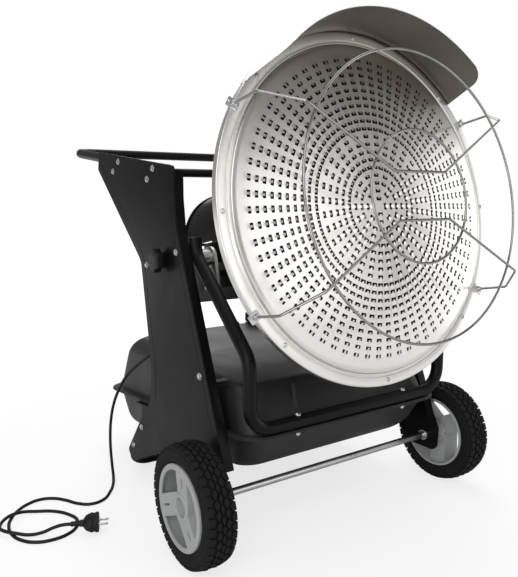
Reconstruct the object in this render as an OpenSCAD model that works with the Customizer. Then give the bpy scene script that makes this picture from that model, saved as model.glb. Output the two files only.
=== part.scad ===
// Oil-fired infrared heater on two wheels.
// Millimetres, +Z up, the dish faces -Y, +X is to the right as seen from the front.
// The modules measure y from the axle, and put() moves them to the middle of the floor area.

/* [Side panels] */
// Width across the outer faces of the two side panels
frame_w = 596; // [594:2:640]
// Thickness of the panel sheet
sheet_t = 2.5; // [2:0.5:4]
// Width of the folded flange along the front edge of a panel
flange_w = 22; // [12:1:24]
// Height of the top front corner of a panel
panel_front_z = 766; // [740:1:790]
// Height of the top rear corner of a panel
panel_rear_z = 816; // [800:1:840]
// Distance of the top front corner behind the axle
panel_front_y = 169; // [150:1:180]
// Distance of the top rear corner behind the axle
panel_rear_y = 597; // [560:1:640]
// Height at which the front edge bends towards the axle
panel_kink_z = 635; // [600:1:660]
// Radius of the rounded corners of a panel
panel_corner_r = 8; // [4:1:16]

/* [Tubes] */
// Outer diameter of the handle tube and the foot tube
tube_d = 25; // [22:1:30]
// Outer diameter of the front tube
front_tube_d = 27; // [24:1:30]
// Wall of the bent tubes
tube_wall = 2; // [1.5:0.5:3]
// Bend radius of the tubes
bend_r = 58; // [50:1:66]
// Distance of the handle bar behind the axle
handle_y = 830; // [760:5:880]
// Height of the handle bar
handle_z = 827; // [790:1:860]
// Rise of the handle arms towards the bar, in degrees
handle_slope = 6.4; // [4:0.2:8]
// Outer diameter of the rear cross tube
brace_d = 22; // [18:1:26]

/* [Wheels] */
// Tyre diameter
wheel_d = 240; // [200:5:280]
// Tyre width
wheel_w = 64; // [50:2:80]
// Diameter of the grey rim
rim_d = 168; // [150:2:172]
// Gap between a side panel and the inner face of its tyre
wheel_gap = 24; // [16:1:40]
// Axle diameter
axle_d = 15; // [12:1:20]
// Diameter of the wheel hub
hub_d = 54; // [50:2:60]
// Number of spokes in a rim
spokes = 3; // [3:1:5]
// Width of a spoke
spoke_w = 44; // [30:2:46]

/* [Dish] */
// Outer diameter of the dish flange
dish_d = 700; // [640:10:720]
// Width of the flat flange
dish_flange_w = 18; // [15:1:24]
// Depth of the rim turned back round the flange
rim_depth = 14; // [8:1:20]
// Upward tilt of the dish in degrees
dish_tilt = 10.7; // [8:0.1:12]
// Depth of the rear pan
pan_depth = 140; // [130:2:150]
// Height of the middle of the emitter in front of the flange
dome_h = 26; // [20:1:40]
// Thickness of the stainless sheets
steel_t = 1.5; // [1:0.1:1.8]
// Length of the visor in front of the flange
visor_len = 111; // [90:1:112]
// Half angle covered by the visor
visor_angle = 50; // [35:1:55]
// Corner radius of the visor
visor_corner_r = 40; // [20:1:50]
// Number of flange screws
dish_screws = 8; // [4:1:16]

/* [Guard] */
// Wire diameter of the guard
wire_d = 5; // [4:0.5:6]
// Diameter of the outer guard ring, middle of the wire
guard_outer_d = 533; // [480:1:560]
// Diameter of the inner guard ring, middle of the wire
guard_inner_d = 243; // [180:1:300]
// Distance of the guard wires in front of the flange
guard_h = 137; // [130:1:145]

/* [Burner] */
// Distance of the tilt axis behind the flange
pivot_back = 335; // [328:1:342]
// Distance of the tilt axis below the dish axis
pivot_drop = 51; // [45:1:58]
// Tilt axis behind the axle
pivot_y = 225; // [218:1:230]
// Height of the tilt axis
pivot_z = 568; // [562:1:580]
// Radius of the combustion chamber
chamber_r = 122; // [100:1:125]
// Length of the combustion chamber
chamber_len = 185; // [160:1:188]
// Radius of the burner hood
hood_r = 129; // [115:1:132]
// Length of the burner hood
hood_len = 224; // [218:1:240]
// Half width of the burner tray
tray_half_w = 190; // [170:1:195]
// Distance of the tray floor below the dish axis
tray_drop = 150; // [135:1:155]
// Diameter of the fan wheel
fan_d = 130; // [100:2:140]
// Number of fan blades
fan_blades = 16; // [8:1:24]

/* [Tank] */
// Gap between the seam flange of the tank and each side panel
tank_gap = 20.5; // [14:0.5:30]
// Length of the tank along its seam
tank_len = 745; // [650:5:760]
// Wall of the tank
tank_wall = 4; // [3:0.5:6]
// Slope of the seam towards the rear, in degrees
seam_slope = 5.7; // [5:0.1:6.5]
// Width of the seam flange
seam_w = 20; // [16:1:22]
// Diameter of the filler neck
neck_d = 60; // [40:2:70]

/* [Mains lead] */
// Diameter of the mains lead
cord_d = 7.2; // [6:0.1:9]

/* [Hidden] */
$fn = 48;
e = 0.01;
// Radial clearance of shafts that turn
run_gap = 0.05;
// Space between bodies that move past each other
free_gap = 0.3;
// Space round a bolt in its hole
bolt_gap = 0.4;
// Extra radius of the bends of a tube
seam_step = 0.05;

// Panels and the places of their bolts, all as distance behind the axle and height
px_out = frame_w / 2;
px_in = px_out - sheet_t;
axle_z = wheel_d / 2;
tube_r = tube_d / 2;
front_r = front_tube_d / 2;
tube_x = px_in - tube_r;
channel_depth = 21;
front_x = px_in - channel_depth - front_r;
function arm_z(y) = handle_z - (handle_y - y) * tan(handle_slope);
arm_bolts = [for (y = [269, 465]) [y, arm_z(y)]];
rail_drop = 25;
brace_pt = [500, arm_z(500) - rail_drop - 1];
rail_bolts = [[299, arm_z(299) - rail_drop - 1], brace_pt];
channel_bolts = [[pivot_y - 60, pivot_z + 21], [pivot_y + 87, pivot_z - 18]];
low_bolt = [69, 347];
foot_slope = 50;
foot_y = 481;
function foot_pt(d) = [foot_y - d * cos(foot_slope), tube_r + seam_step + d * sin(foot_slope)];
foot_bolts = [for (d = [95, 176]) foot_pt(d)];
bolt_d = 8;
head_d = 15;
head_h = 4.5;
nut_w = 13;
nut_h = 6.5;
panel_bolts_yz = concat(arm_bolts, rail_bolts, channel_bolts, [low_bolt], foot_bolts);

thread_gap = 0.05;
rail_t = 2.5;
rail_h = 28;
rail_shelf = 18;
brace_plug = 30;

// Front tube: cross bar, knee and top of the legs
bar_y = -57;
bar_z = 260;
leg_top = [150, pivot_z + 52];
leg_knee = [148, pivot_z + 18];
leg_foot_z = 401;
leg_bend_r = 50;
foot_leg = 206;

// Pivot channel, tilt stud and clamping knob
channel_t = 3;
channel_half_h = 27;
stud_d = 12;
stud_end = px_out + 20;
boss_d = 38;
knob_d = 56;
knob_start = px_out + 0.4;
knob_hub = 8;
knob_t = 18;

// Dish
dish_r = dish_d / 2;
groove_r = dish_r - dish_flange_w;
groove_w = 10;
groove_depth = 3;
dome_r = groove_r - groove_w;
dome_edge_h = 5;
pan_hole_r = chamber_r + 0.3;
pan_r = dish_r - steel_t - free_gap;
screw_circle_r = dish_r - 11;
visor_t = 1.2;
clip_angle = 31.8;
guard_knee = 74;
wire_end_h = 3;
ring_h = guard_h - wire_d + 0.9;

// Burner, as distance behind the flange
pan_rear = pan_depth + 3;
chamber_rear = pan_rear + chamber_len;
plate_t = 1.5;
hood_front = chamber_rear + 2;
blast_r = 45;
fan_front = chamber_rear + 72;
fan_rear = fan_front + 62;
housing_r = fan_d / 2 + 7;
hood_rear = hood_front + hood_len;
tray_t = 2;
tray_front = 195;
tray_wall_h = 28;
tray_floor = tray_t - tray_drop;
box_top = -52;
box_front = fan_rear + 7;
box_rear = hood_rear - 4;
tray_rear = box_rear + 2;
switch_at = [-60, box_rear - 2, -98];
dial_at = [52, box_rear, -98];

// Tank, measured along its seam and off it; the seam runs just under the cross bar
seam_lip = 3;
seam_front_y = -70;
seam_z = bar_z - (front_r + 0.1 + seam_lip) / cos(seam_slope) + (bar_y - seam_front_y) * tan(seam_slope);
tank_w = 2 * (px_in - tank_gap);
tank_corner_r = 68;
tank_in = tank_w / 2 - seam_w;
front_in = seam_w;
rear_in = tank_len - seam_w - 10;
neck_from_rear = 145;
gauge_from_neck = 88;
roof_front = [68, 90];
roof_rear = [rear_in - 84, roof_front.y + (rear_in - 84 - roof_front.x) * tan(seam_slope)];
roof_z = seam_z - roof_front.x * sin(seam_slope) + roof_front.y * cos(seam_slope);
neck_at = [150, seam_front_y + tank_len - neck_from_rear];
gauge_at = [neck_at.x - gauge_from_neck, neck_at.y];
hose_at = [60, pivot_y];
neck_h = 26;
cap_h = 24;
hose_r = 4;
tank_bolt_x = 147;
tank_bolt_d = 8;
strap_t = 3;
strap_w = 26;
strap_foot = tank_gap + 42;
shelf_t = 2.5;
shelf_y = [foot_bolts[1].x - 18, foot_bolts[0].x + 12];
function seam_at(y) = seam_z - (y - seam_front_y) * tan(seam_slope);
function seam_under(y) = seam_at(y) - seam_lip / cos(seam_slope);

// The floor area runs from the lowest point of the outer guard ring to the handle bar
function head_y(back, up) = pivot_y + (back - pivot_back) * cos(dish_tilt)
    + (up + pivot_drop) * sin(dish_tilt);
front_reach = head_y(-ring_h, -guard_outer_d / 2) - wire_d / 2;
mid_y = (front_reach + handle_y + tube_r) / 2;

black = "#1c1c1d";
steel = "#c9c7c2";
zinc = "#b9bcbf";
plastic = "#333436";
grey = "#b4b5b6";
rubber = "#191919";

// Helpers

// Moves a piece from the axle's frame to the middle of the floor area
module put() translate([0, -mid_y, 0]) children();

// Draws a piece on both sides
module both() {
    children();
    mirror([1, 0, 0]) children();
}

// Moves a piece of the dish head: x across, y behind the flange, z above the dish axis
module head() {
    put() translate([0, pivot_y, pivot_z]) rotate([-dish_tilt, 0, 0])
        translate([0, -pivot_back, pivot_drop]) children();
}

// Moves a piece to the seam plane of the tank: x across, y along the seam, z off the seam
module seam() put() translate([0, seam_front_y, seam_z]) rotate([-seam_slope, 0, 0]) children();

// Puts a shape that stands on z onto the line from behind the dish towards its front
module along_y() rotate([-90, 0, 0]) children();

function unit(v) = v / norm(v);
function side_of(d) = unit(abs(d.z) < 0.9 ? cross([0, 0, 1], d) : cross([1, 0, 0], d));

module frame_at(o, x, y, z) multmatrix([[x.x, y.x, z.x, o.x], [x.y, y.y, z.y, o.y],
    [x.z, y.z, z.z, o.z], [0, 0, 0, 1]]) children();

// Round bar from one point to another
module rod(a, b, r) {
    d = unit(b - a);
    s = side_of(d);
    frame_at(a, s, cross(d, s), d) cylinder(h = norm(b - a), r = r);
}

function turn(p, i) = acos(unit(p[i] - p[i - 1]) * unit(p[i + 1] - p[i]));
function trim_len(p, i, b) = (i == 0 || i == len(p) - 1) ? 0 : b * tan(turn(p, i) / 2);

// Tube bent along points, with arcs of radius b at its corners; in is the radius of its bore.
// The straights sink a little into the arcs, which are thicker by a hair

module bent_tube(p, r, in, b) {
    sink = sqrt(b) / 8;
    for (i = [0:len(p) - 2]) {
        d = unit(p[i + 1] - p[i]);
        side = side_of(d);
        start = p[i] + d * (trim_len(p, i, b) - (i > 0 ? sink : 0));
        end = p[i + 1] - d * (trim_len(p, i + 1, b) - (i < len(p) - 2 ? sink : 0));
        frame_at(start, side, cross(d, side), d) difference() {
            cylinder(h = norm(end - start), r = r);
            if (in > 0) translate([0, 0, -1]) cylinder(h = norm(end - start) + 2, r = in);
        }
    }
    for (i = [1:len(p) - 2]) {
        a = unit(p[i] - p[i - 1]);
        n = unit(cross(a, p[i + 1] - p[i]));
        start = p[i] - a * trim_len(p, i, b);
        frame_at(start + b * cross(n, a), -cross(n, a), a, n)
            rotate_extrude(angle = turn(p, i)) translate([b, 0]) difference() {
                circle(r + seam_step);
                if (in > 0) circle(in - seam_step);
            }
    }
}
module bent_rod(p, r, b) bent_tube(p, r, 0, b);

// Points of a polygon whose corners [x, y, r] are rounded by arcs
function corner(p, i, n) = let (
    c = [p[i][0], p[i][1]], q = p[(i + len(p) - 1) % len(p)], s = p[(i + 1) % len(p)],
    u = unit([q[0], q[1]] - c), v = unit([s[0], s[1]] - c), r = p[i][2],
    half = acos(u * v) / 2, t = r / tan(half), m = c + unit(u + v) * r / sin(half),
    a0 = atan2((c + u * t - m).y, (c + u * t - m).x),
    a1 = atan2((c + v * t - m).y, (c + v * t - m).x),
    da = (a1 - a0 + 540) % 360 - 180)
    r == 0 ? [c] : [for (k = [0:n]) m + r * [cos(a0 + da * k / n), sin(a0 + da * k / n)]];
function rounded(p, n = 6) = [for (i = [0:len(p) - 1]) each corner(p, i, n)];

// Strip of even width along a line of points, on the left side of its run
function shifted(p, w) = [for (i = [0:len(p) - 1]) let (
    a = unit(p[min(i + 1, len(p) - 1)] - p[max(i - 1, 0)])) p[i] + w * [-a.y, a.x]];
function strip(p, w) = concat(p, [for (i = [len(p) - 1:-1:0]) shifted(p, w)[i]]);

// Extrudes an outline drawn as [behind the axle, height] from x0 over a width w
module plate(x0, w) translate([x0, 0, 0]) rotate([90, 0, 90]) linear_extrude(w) children();

// Round hole or bar across the machine at [behind the axle, height]
module cross_rod(p, x0, w, r) translate([x0, p[0], p[1]]) rotate([0, 90, 0]) cylinder(h = w, r = r);

// Rounded rectangle centred across x, from y0 to y1
module round_rect(half_w, y0, y1, r) {
    polygon(rounded([[-half_w, y0, r], [half_w, y0, r], [half_w, y1, r], [-half_w, y1, r]], 8));
}

// Side panels

flange_corner_r = 10;
front_line = let (p = [[panel_front_y, panel_front_z - panel_corner_r, 0], [panel_front_y, 700, 80],
    [panel_front_y - 9, panel_kink_z, 90], [-24, 177, 0]])
    concat([[p[0].x, p[0].y]], corner(p, 1, 6), corner(p, 2, 6), [[p[3].x, p[3].y]]);

module panel_outline() polygon(rounded(concat([for (q = front_line) [q.x, q.y, 0]], [
    [-40, axle_z + 26, 12], [-38, axle_z - 33, 22], [44, axle_z - 34, 22], [92, 129, 40],
    [190, 152, 60], [foot_bolts[0].x + 12, 37, 12], [foot_bolts[0].x + 40, 60, 10],
    [379, 160, 0], [316, 226, 50], [303, 310, 150], [347, 556, 30],
    [panel_rear_y + 10, panel_rear_z - 44, 8], [panel_rear_y - 1, panel_rear_z, 5],
    [panel_front_y, panel_front_z, panel_corner_r]])));

// What is cut off the flange to round its top end
module flange_corner() translate([px_out - flange_w, panel_front_y, panel_front_z - panel_corner_r])
    difference() {
        translate([-1, -1, -flange_corner_r]) cube([flange_corner_r + 1, sheet_t + 2, flange_corner_r + 1]);
        translate([flange_corner_r, -2, -flange_corner_r]) rotate([-90, 0, 0])
            cylinder(h = sheet_t + 4, r = flange_corner_r);
    }

module panel() put() difference() {
    union() {
        plate(px_in, sheet_t) panel_outline();
        plate(px_out - flange_w, flange_w) polygon(strip(front_line, sheet_t));
    }
    for (p = panel_bolts_yz) cross_rod(p, px_in - 1, sheet_t + 2, bolt_d / 2 + bolt_gap);
    cross_rod([0, axle_z], px_in - 1, sheet_t + 2, axle_d / 2 + run_gap);
    cross_rod([pivot_y, pivot_z], px_in - 1, sheet_t + 2, stud_d / 2 + run_gap);
    flange_corner();
}
module left_panel() color(black) mirror([1, 0, 0]) panel();
module right_panel() color(black) panel();

// Tubes of the frame

module bolt_bores(list) for (p = list) cross_rod(p, -px_out, frame_w, bolt_d / 2 + bolt_gap);

arm_front_y = 225;
module handle_tube() color(black) put() difference() {
    bent_tube([[tube_x, arm_front_y, arm_z(arm_front_y)], [tube_x, handle_y, handle_z],
        [-tube_x, handle_y, handle_z], [-tube_x, arm_front_y, arm_z(arm_front_y)]],
        tube_r, tube_r - tube_wall, bend_r);
    bolt_bores(arm_bolts);
}

module rear_brace() color(black) put() difference() {
    cross_rod(brace_pt, -px_in + rail_t, 2 * (px_in - rail_t), brace_d / 2);
    cross_rod(brace_pt, -px_in + rail_t + brace_plug, 2 * (px_in - rail_t - brace_plug),
        brace_d / 2 - tube_wall);
    both() cross_rod(brace_pt, px_in - brace_plug, brace_plug + 1, bolt_d / 2 + thread_gap);
}

rail_front_y = 272;
rail_len = 260;
module rail() put() difference() {
    translate([px_in, rail_front_y, arm_z(rail_front_y)]) rotate([handle_slope, 0, 0])
        mirror([1, 0, 0]) translate([0, 0, -tube_r - rail_h]) {
            cube([rail_t, rail_len, rail_h]);
            cube([rail_shelf, rail_len, rail_t]);
        }
    bolt_bores(rail_bolts);
}
module arm_rails() color(black) both() rail();

module front_tube() color(black) put() difference() {
    bent_tube([[front_x, leg_top.x, leg_top.y], [front_x, leg_knee.x, leg_knee.y],
        [front_x, bar_y, leg_foot_z], [front_x, bar_y, bar_z], [-front_x, bar_y, bar_z],
        [-front_x, bar_y, leg_foot_z], [-front_x, leg_knee.x, leg_knee.y],
        [-front_x, leg_top.x, leg_top.y]], front_r, front_r - tube_wall, leg_bend_r);
    both() translate([tank_bolt_x, bar_y, bar_z - front_r - 1])
        cylinder(h = front_tube_d + 2, r = tank_bolt_d / 2 + bolt_gap);
}

module foot_tube() color(black) put() difference() {
    bent_tube([[tube_x, foot_pt(foot_leg).x, foot_pt(foot_leg).y], [tube_x, foot_y, tube_r],
        [-tube_x, foot_y, tube_r], [-tube_x, foot_pt(foot_leg).x, foot_pt(foot_leg).y]],
        tube_r, tube_r - tube_wall, bend_r - 5);
    bolt_bores(foot_bolts);
}

// Channels between the panels and the legs of the front tube; the tilt studs turn in them

channel_run = unit([channel_bolts[1].x - channel_bolts[0].x, channel_bolts[1].y - channel_bolts[0].y]);
channel_turn = atan2(channel_run.y, channel_run.x);
channel_lead = 14;
channel_tail = 30;
channel_len = norm(channel_bolts[1] - channel_bolts[0]) + channel_lead + channel_tail;
module channel() put() difference() {
    translate([px_in - channel_depth, channel_bolts[0].x, channel_bolts[0].y])
        rotate([channel_turn, 0, 0]) translate([0, -channel_lead, -channel_half_h]) difference() {
            cube([channel_depth, channel_len, 2 * channel_half_h]);
            translate([channel_t, -1, channel_t])
                cube([channel_depth, channel_len + 2, 2 * (channel_half_h - channel_t)]);
        }
    bolt_bores(channel_bolts);
    cross_rod([pivot_y, pivot_z], px_in - channel_depth - 1, channel_depth, stud_d / 2 + run_gap);
}
module left_pivot_channel() color(black) mirror([1, 0, 0]) channel();
module right_pivot_channel() color(black) channel();

// Bolts through the panels, each with the depth its shank reaches inside the panel

bolt_reach = concat([for (p = arm_bolts) tube_d], [rail_t], [for (p = channel_bolts) channel_depth],
    [strap_t], [for (p = foot_bolts) tube_d + shelf_t]);
nut_bolts = concat(arm_bolts, [rail_bolts[0]], channel_bolts, [low_bolt], foot_bolts);
module hex_bolt(p, reach) {
    cross_rod(p, px_in - reach, reach + sheet_t + e, bolt_d / 2);
    cross_rod(p, px_out, head_h, head_d / 2);
}
module panel_bolts() color(zinc) put() both() {
    for (i = [0:len(nut_bolts) - 1]) hex_bolt(nut_bolts[i], bolt_reach[i] + nut_h + 2);
    hex_bolt(brace_pt, rail_t + brace_plug - 4);
}
module panel_nuts() color(zinc) put() both() for (i = [0:len(nut_bolts) - 1])
    translate([px_in - bolt_reach[i] - nut_h, nut_bolts[i].x, nut_bolts[i].y]) rotate([0, 90, 0])
        difference() {
            cylinder(h = nut_h, r = nut_w / sqrt(3), $fn = 6);
            translate([0, 0, -1]) cylinder(h = nut_h + 2, r = bolt_d / 2 + thread_gap);
        }

// Straps and shelves that hold the tank between the panels

module tank_straps() color(black) put() both() difference() {
    union() {
        translate([px_in - strap_t, low_bolt.x - strap_w / 2, roof_z])
            cube([strap_t, strap_w, low_bolt.y + 14 - roof_z]);
        translate([px_in - strap_foot, low_bolt.x - strap_w / 2, roof_z])
            cube([strap_foot, strap_w, strap_t]);
        plate(px_in - tube_d - shelf_t, shelf_t) polygon([[shelf_y[0], foot_bolts[0].y - 14],
            [shelf_y[1], foot_bolts[0].y - 14], [shelf_y[1], seam_under(shelf_y[1])],
            [shelf_y[0], seam_under(shelf_y[0])]]);
        plate(px_in - tube_d - shelf_t, tube_d - 8) polygon([
            [shelf_y[0], seam_under(shelf_y[0]) - shelf_t], [shelf_y[1], seam_under(shelf_y[1]) - shelf_t],
            [shelf_y[1], seam_under(shelf_y[1])], [shelf_y[0], seam_under(shelf_y[0])]]);
    }
    bolt_bores([low_bolt, foot_bolts[0], foot_bolts[1]]);
}

tank_nut_h = 6;
module tank_bolts() color(zinc) put() both() translate([tank_bolt_x, bar_y, 0]) {
    low = seam_under(bar_y) - 0.8 - tank_nut_h;
    translate([0, 0, low - 2]) cylinder(h = bar_z + front_r + e - low + 2, r = tank_bolt_d / 2);
    translate([0, 0, bar_z + front_r]) cylinder(h = 5, r = 6.5);
    translate([0, 0, low]) cylinder(h = tank_nut_h, r = 6.5, $fn = 6);
}

// Axle

axle_reach = px_out + wheel_gap + wheel_w - 14;
module axle() color(zinc) put() cross_rod([0, axle_z], -axle_reach, 2 * axle_reach, axle_d / 2);
module axle_collars() color(zinc) put() both() difference() {
    cross_rod([0, axle_z], px_in - 10.5, 10, 13);
    cross_rod([0, axle_z], px_in - 12, 13, axle_d / 2);
}
module axle_clips() color(zinc) put() both() difference() {
    cross_rod([0, axle_z], axle_reach - 3.4, 2, 12.5);
    cross_rod([0, axle_z], axle_reach - 5, 5, axle_d / 2);
}

// Tank: side views in the seam's frame as [along the seam, off the seam, corner radius]

top_side = [[front_in, 0, 0], [rear_in, 0, 0], [roof_rear.x, roof_rear.y, 45],
    [roof_front.x, roof_front.y, 40]];
top_face = [[-tank_in, 0, 0], [tank_in, 0, 0], [tank_in - 14, 160, 0], [14 - tank_in, 160, 0]];
low_side = [[front_in, 0, 0], [84, -86, 24], [rear_in - 52, -102, 36], [rear_in - 8, -56, 30],
    [rear_in, 0, 0]];
low_face = [[-tank_in, 0, 0], [22 - tank_in, -120, 0], [tank_in - 22, -120, 0], [tank_in, 0, 0]];

// Moves every edge of an anticlockwise outline inwards by w
function inset_corner(a, b, c, w) = let (u = unit(b - a), v = unit(c - b))
    b + w * ([-u.y, u.x] - u * (1 - u * v) / cross(u, v));
function inset(p, w) = let (q = [for (c = p) [c.x, c.y]], n = len(p))
    [for (i = [0:n - 1]) concat(inset_corner(q[(i + n - 1) % n], q[i], q[(i + 1) % n], w),
        [max(0, p[i].z - w)])];

module tank_solid(side, face, in) intersection() {
    plate(-tank_w, 2 * tank_w) polygon(rounded(side));
    translate([0, tank_len + 10, 0]) rotate([90, 0, 0]) linear_extrude(tank_len + 20) polygon(
        rounded(face));
    translate([0, 0, -200]) linear_extrude(400) tank_plan(in);
}
module tank_plan(in) round_rect(tank_in - in, front_in + in, rear_in - in, tank_corner_r - seam_w - in);
module seam_ring(z0) translate([0, 0, z0]) linear_extrude(seam_lip)
    round_rect(tank_w / 2, 0, tank_len, tank_corner_r);
module tank_half(side, face, z0) difference() {
    union() {
        seam_ring(z0);
        tank_solid(side, face, 0);
    }
    tank_solid(inset(side, tank_wall), inset(face, tank_wall), tank_wall);
    translate([0, 0, -tank_wall - 1]) linear_extrude(2 * tank_wall + 2) tank_plan(tank_wall + 6);
}
module tank_bolt_bores() both() translate([tank_bolt_x, bar_y, seam_at(bar_y) - 20])
    cylinder(h = 40, r = tank_bolt_d / 2 + bolt_gap);

module tank_bottom() color(plastic) difference() {
    seam() tank_half(low_side, low_face, -seam_lip);
    put() tank_bolt_bores();
}
module tank_top() color(plastic) difference() {
    seam() tank_half(top_side, top_face, 0);
    put() tank_bolt_bores();
    put() translate([neck_at.x, neck_at.y, roof_z - 20]) cylinder(h = 40, r = neck_d / 2 - tank_wall);
    put() translate([gauge_at.x, gauge_at.y, roof_z - 20]) cylinder(h = 40, r = 10);
    put() translate([hose_at.x, hose_at.y, roof_z - 20]) cylinder(h = 40, r = hose_r);
}

module on_roof(p) put() translate([p.x, p.y, roof_z]) children();
module filler_neck() color(plastic) on_roof(neck_at) difference() {
    union() {
        cylinder(h = neck_h, r = neck_d / 2);
        cylinder(h = 3, r = neck_d / 2 + 8);
    }
    translate([0, 0, -1]) cylinder(h = neck_h + 2, r = neck_d / 2 - tank_wall);
}
module fuel_cap() color(black) on_roof(neck_at) difference() {
    union() {
        translate([0, 0, 8]) cylinder(h = cap_h, r = neck_d / 2 + 6);
        for (a = [0:30:330]) rotate([0, 0, a]) translate([neck_d / 2 + 5.5, 0, 9])
            cylinder(h = cap_h - 2, r = 2.5, $fn = 16);
    }
    translate([0, 0, 7]) cylinder(h = neck_h - 6.6, r = neck_d / 2 + run_gap);
}
module fuel_gauge() color(black) on_roof(gauge_at) {
    cylinder(h = 12, r = 20);
    translate([0, 0, 12 - e]) cylinder(h = 4, r = 14);
}
module hose_fitting() color(zinc) on_roof(hose_at) difference() {
    union() {
        cylinder(h = 3, r = 11);
        translate([0, 0, 3 - e]) cylinder(h = 10, r = 9, $fn = 6);
    }
    translate([0, 0, -1]) cylinder(h = 20, r = hose_r);
}
module suction_hose() color(rubber) put() rod([hose_at.x, hose_at.y, roof_z + 1],
    [hose_at.x, hose_at.y, pivot_z - 6.5], hose_r);

// Leads

clamp_at = [-px_in + 11.5, 272, 350];
module lead_clamp() color(black) put() translate(clamp_at) difference() {
    union() {
        rotate([-90, 0, 0]) translate([0, 0, -12]) cylinder(h = 26, r = 8.5);
        translate([-11.5, -10, -10]) cube([6, 20, 20]);
    }
    rotate([-90, 0, 0]) translate([0, 0, -14]) cylinder(h = 12, r = cord_d / 2);
    rotate([-90, 0, 0]) translate([0, 0, 4]) cylinder(h = 12, r = cord_d / 2);
}

plug_z = 21.5;
mains_route = [[-284, 276, 350], [-284, 296, 350], [-285, 322, 342], [-288, 347, 327],
    [-294, 374, 308], [-301, 400, 289], [-307, 425, 268], [-313, 446, 244], [-320, 464, 214],
    [-327, 477, 180], [-333, 482, 143], [-338, 479, 104], [-342, 469, 66], [-346, 452, 32],
    [-354, 424, 10], [-366, 396, 4], [-386, 365, 3.6], [-414, 337, 3.6], [-444, 334, 3.6],
    [-468, 354, 3.6], [-486, 385, 3.6], [-509, 411, 3.6], [-536, 421, 3.6], [-564, 414, 3.6],
    [-590, 395, 3.6], [-611, 367, 3.6], [-624, 333, 3.6], [-626, 297, 3.6], [-615, 262, 3.6],
    [-593, 238, 3.6], [-562, 228, 3.6], [-530, 232, 3.6], [-505, 250, 3.6], [-493, 278, 3.6],
    [-500, 312, 3.6], [-523, 346, 3.6], [-556, 366, 4.5], [-592, 371, 10], [-622, 359, 12],
    [-642, 334, 9], [-640, 305, 12], [-622, 284, 11], [-598, 271, 6], [-573, 261, 8],
    [-552, 251, 17], [-534, 243, plug_z], [-520, 237, plug_z]];
plug_at = [-520, 237, plug_z];
plug_turn = -24;
inner_route = [[-284, 264, 350], [-284, 246, 350], [-283, 224, 360], [-279, 210, 386],
    [-268, 206, 424], [-252, 210, 468], [-238, 220, 510], [-232, 225, 540], [-232, 225, 548]];

// Point of a smooth curve through the route, at a run i + t
function near(p, i) = p[max(0, min(len(p) - 1, i))];
function curve(p, i, t) = let (a = near(p, i - 1), b = near(p, i), c = near(p, i + 1),
    d = near(p, i + 2)) 0.5 * (2 * b + (c - a) * t + (2 * a - 5 * b + 4 * c - d) * t * t
    + (3 * b - a - 3 * c + d) * t * t * t);
function smooth(p, n) = concat([for (i = [0:len(p) - 2], k = [0:n - 1]) curve(p, i, k / n)],
    [p[len(p) - 1]]);
function heading(q, i) = unit(near(q, i + 1) - near(q, i - 1));
function carried(q) = [for (i = 0, s = side_of(heading(q, 0)); i < len(q); i = i + 1,
    s = i < len(q) ? unit(s - (s * heading(q, i)) * heading(q, i)) : s) s];
module swept(q, r, n = 10) {
    s = carried(q);
    points = [for (i = [0:len(q) - 1], k = [0:n - 1]) let (t = cross(heading(q, i), s[i]))
        q[i] + r * (s[i] * cos(360 * k / n) + t * sin(360 * k / n))];
    sides = [for (i = [0:len(q) - 2], k = [0:n - 1]) [i * n + k, i * n + (k + 1) % n,
        (i + 1) * n + (k + 1) % n, (i + 1) * n + k]];
    last = (len(q) - 1) * n;
    polyhedron(points, concat(sides, [[for (k = [n - 1:-1:0]) k]], [[for (k = [0:n - 1]) last + k]]));
}
module mains_lead() color(rubber) put() swept(mains_route, cord_d / 2);
module inner_lead() color(rubber) put() swept(inner_route, cord_d / 2);

plug_r = 21;
plug_len = 32;
module plug() color(rubber) put() translate(plug_at) rotate([0, 0, plug_turn]) rotate([0, 90, 0]) {
    difference() {
        union() {
            cylinder(h = 28, r1 = cord_d / 2 + 1.4, r2 = cord_d / 2 + 4);
            translate([0, 0, 26]) cylinder(h = plug_len, r = plug_r);
        }
        translate([0, 0, -1]) cylinder(h = 3, r = cord_d / 2);
    }
    for (a = [-1, 1]) translate([0, 9.5 * a, 26 + plug_len - e]) cylinder(h = 19, r = 2.4);
}

// Dish

module ring_of(count, r) for (i = [0:count - 1]) rotate([0, 360 / count * i, 0])
    translate([0, 0, r]) children();
module screw_bores() ring_of(dish_screws, screw_circle_r) along_y() translate([0, 0, -10])
    cylinder(h = 30, r = 2.5);

module rear_pan() color(steel) head() difference() {
    along_y() rotate_extrude($fn = 96) polygon([[groove_r + 1.5, steel_t], [pan_r, steel_t],
        [pan_r, 2 * steel_t], [groove_r + 3.5, 2 * steel_t], [groove_r + 1, groove_depth + 5],
        [pan_hole_r + 12, pan_depth], [pan_hole_r + 12, pan_depth + 3], [pan_hole_r, pan_depth + 3],
        [pan_hole_r, pan_depth], [pan_hole_r + 10, pan_depth - 2], [groove_r - 2, groove_depth + 3.5]]);
    screw_bores();
}
module dish_flange() color(steel) head() difference() {
    along_y() rotate_extrude($fn = 96) polygon([[dome_r - 8, groove_depth - steel_t],
        [groove_r - steel_t, groove_depth - steel_t], [groove_r - steel_t, 0], [dish_r, 0],
        [dish_r, rim_depth], [dish_r - steel_t, rim_depth], [dish_r - steel_t, steel_t],
        [groove_r, steel_t], [groove_r, groove_depth], [dome_r - 8, groove_depth]]);
    screw_bores();
}
dome_rise = dome_h - dome_edge_h;
dome_sphere_r = (dome_r * dome_r + dome_rise * dome_rise) / (2 * dome_rise);
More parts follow.
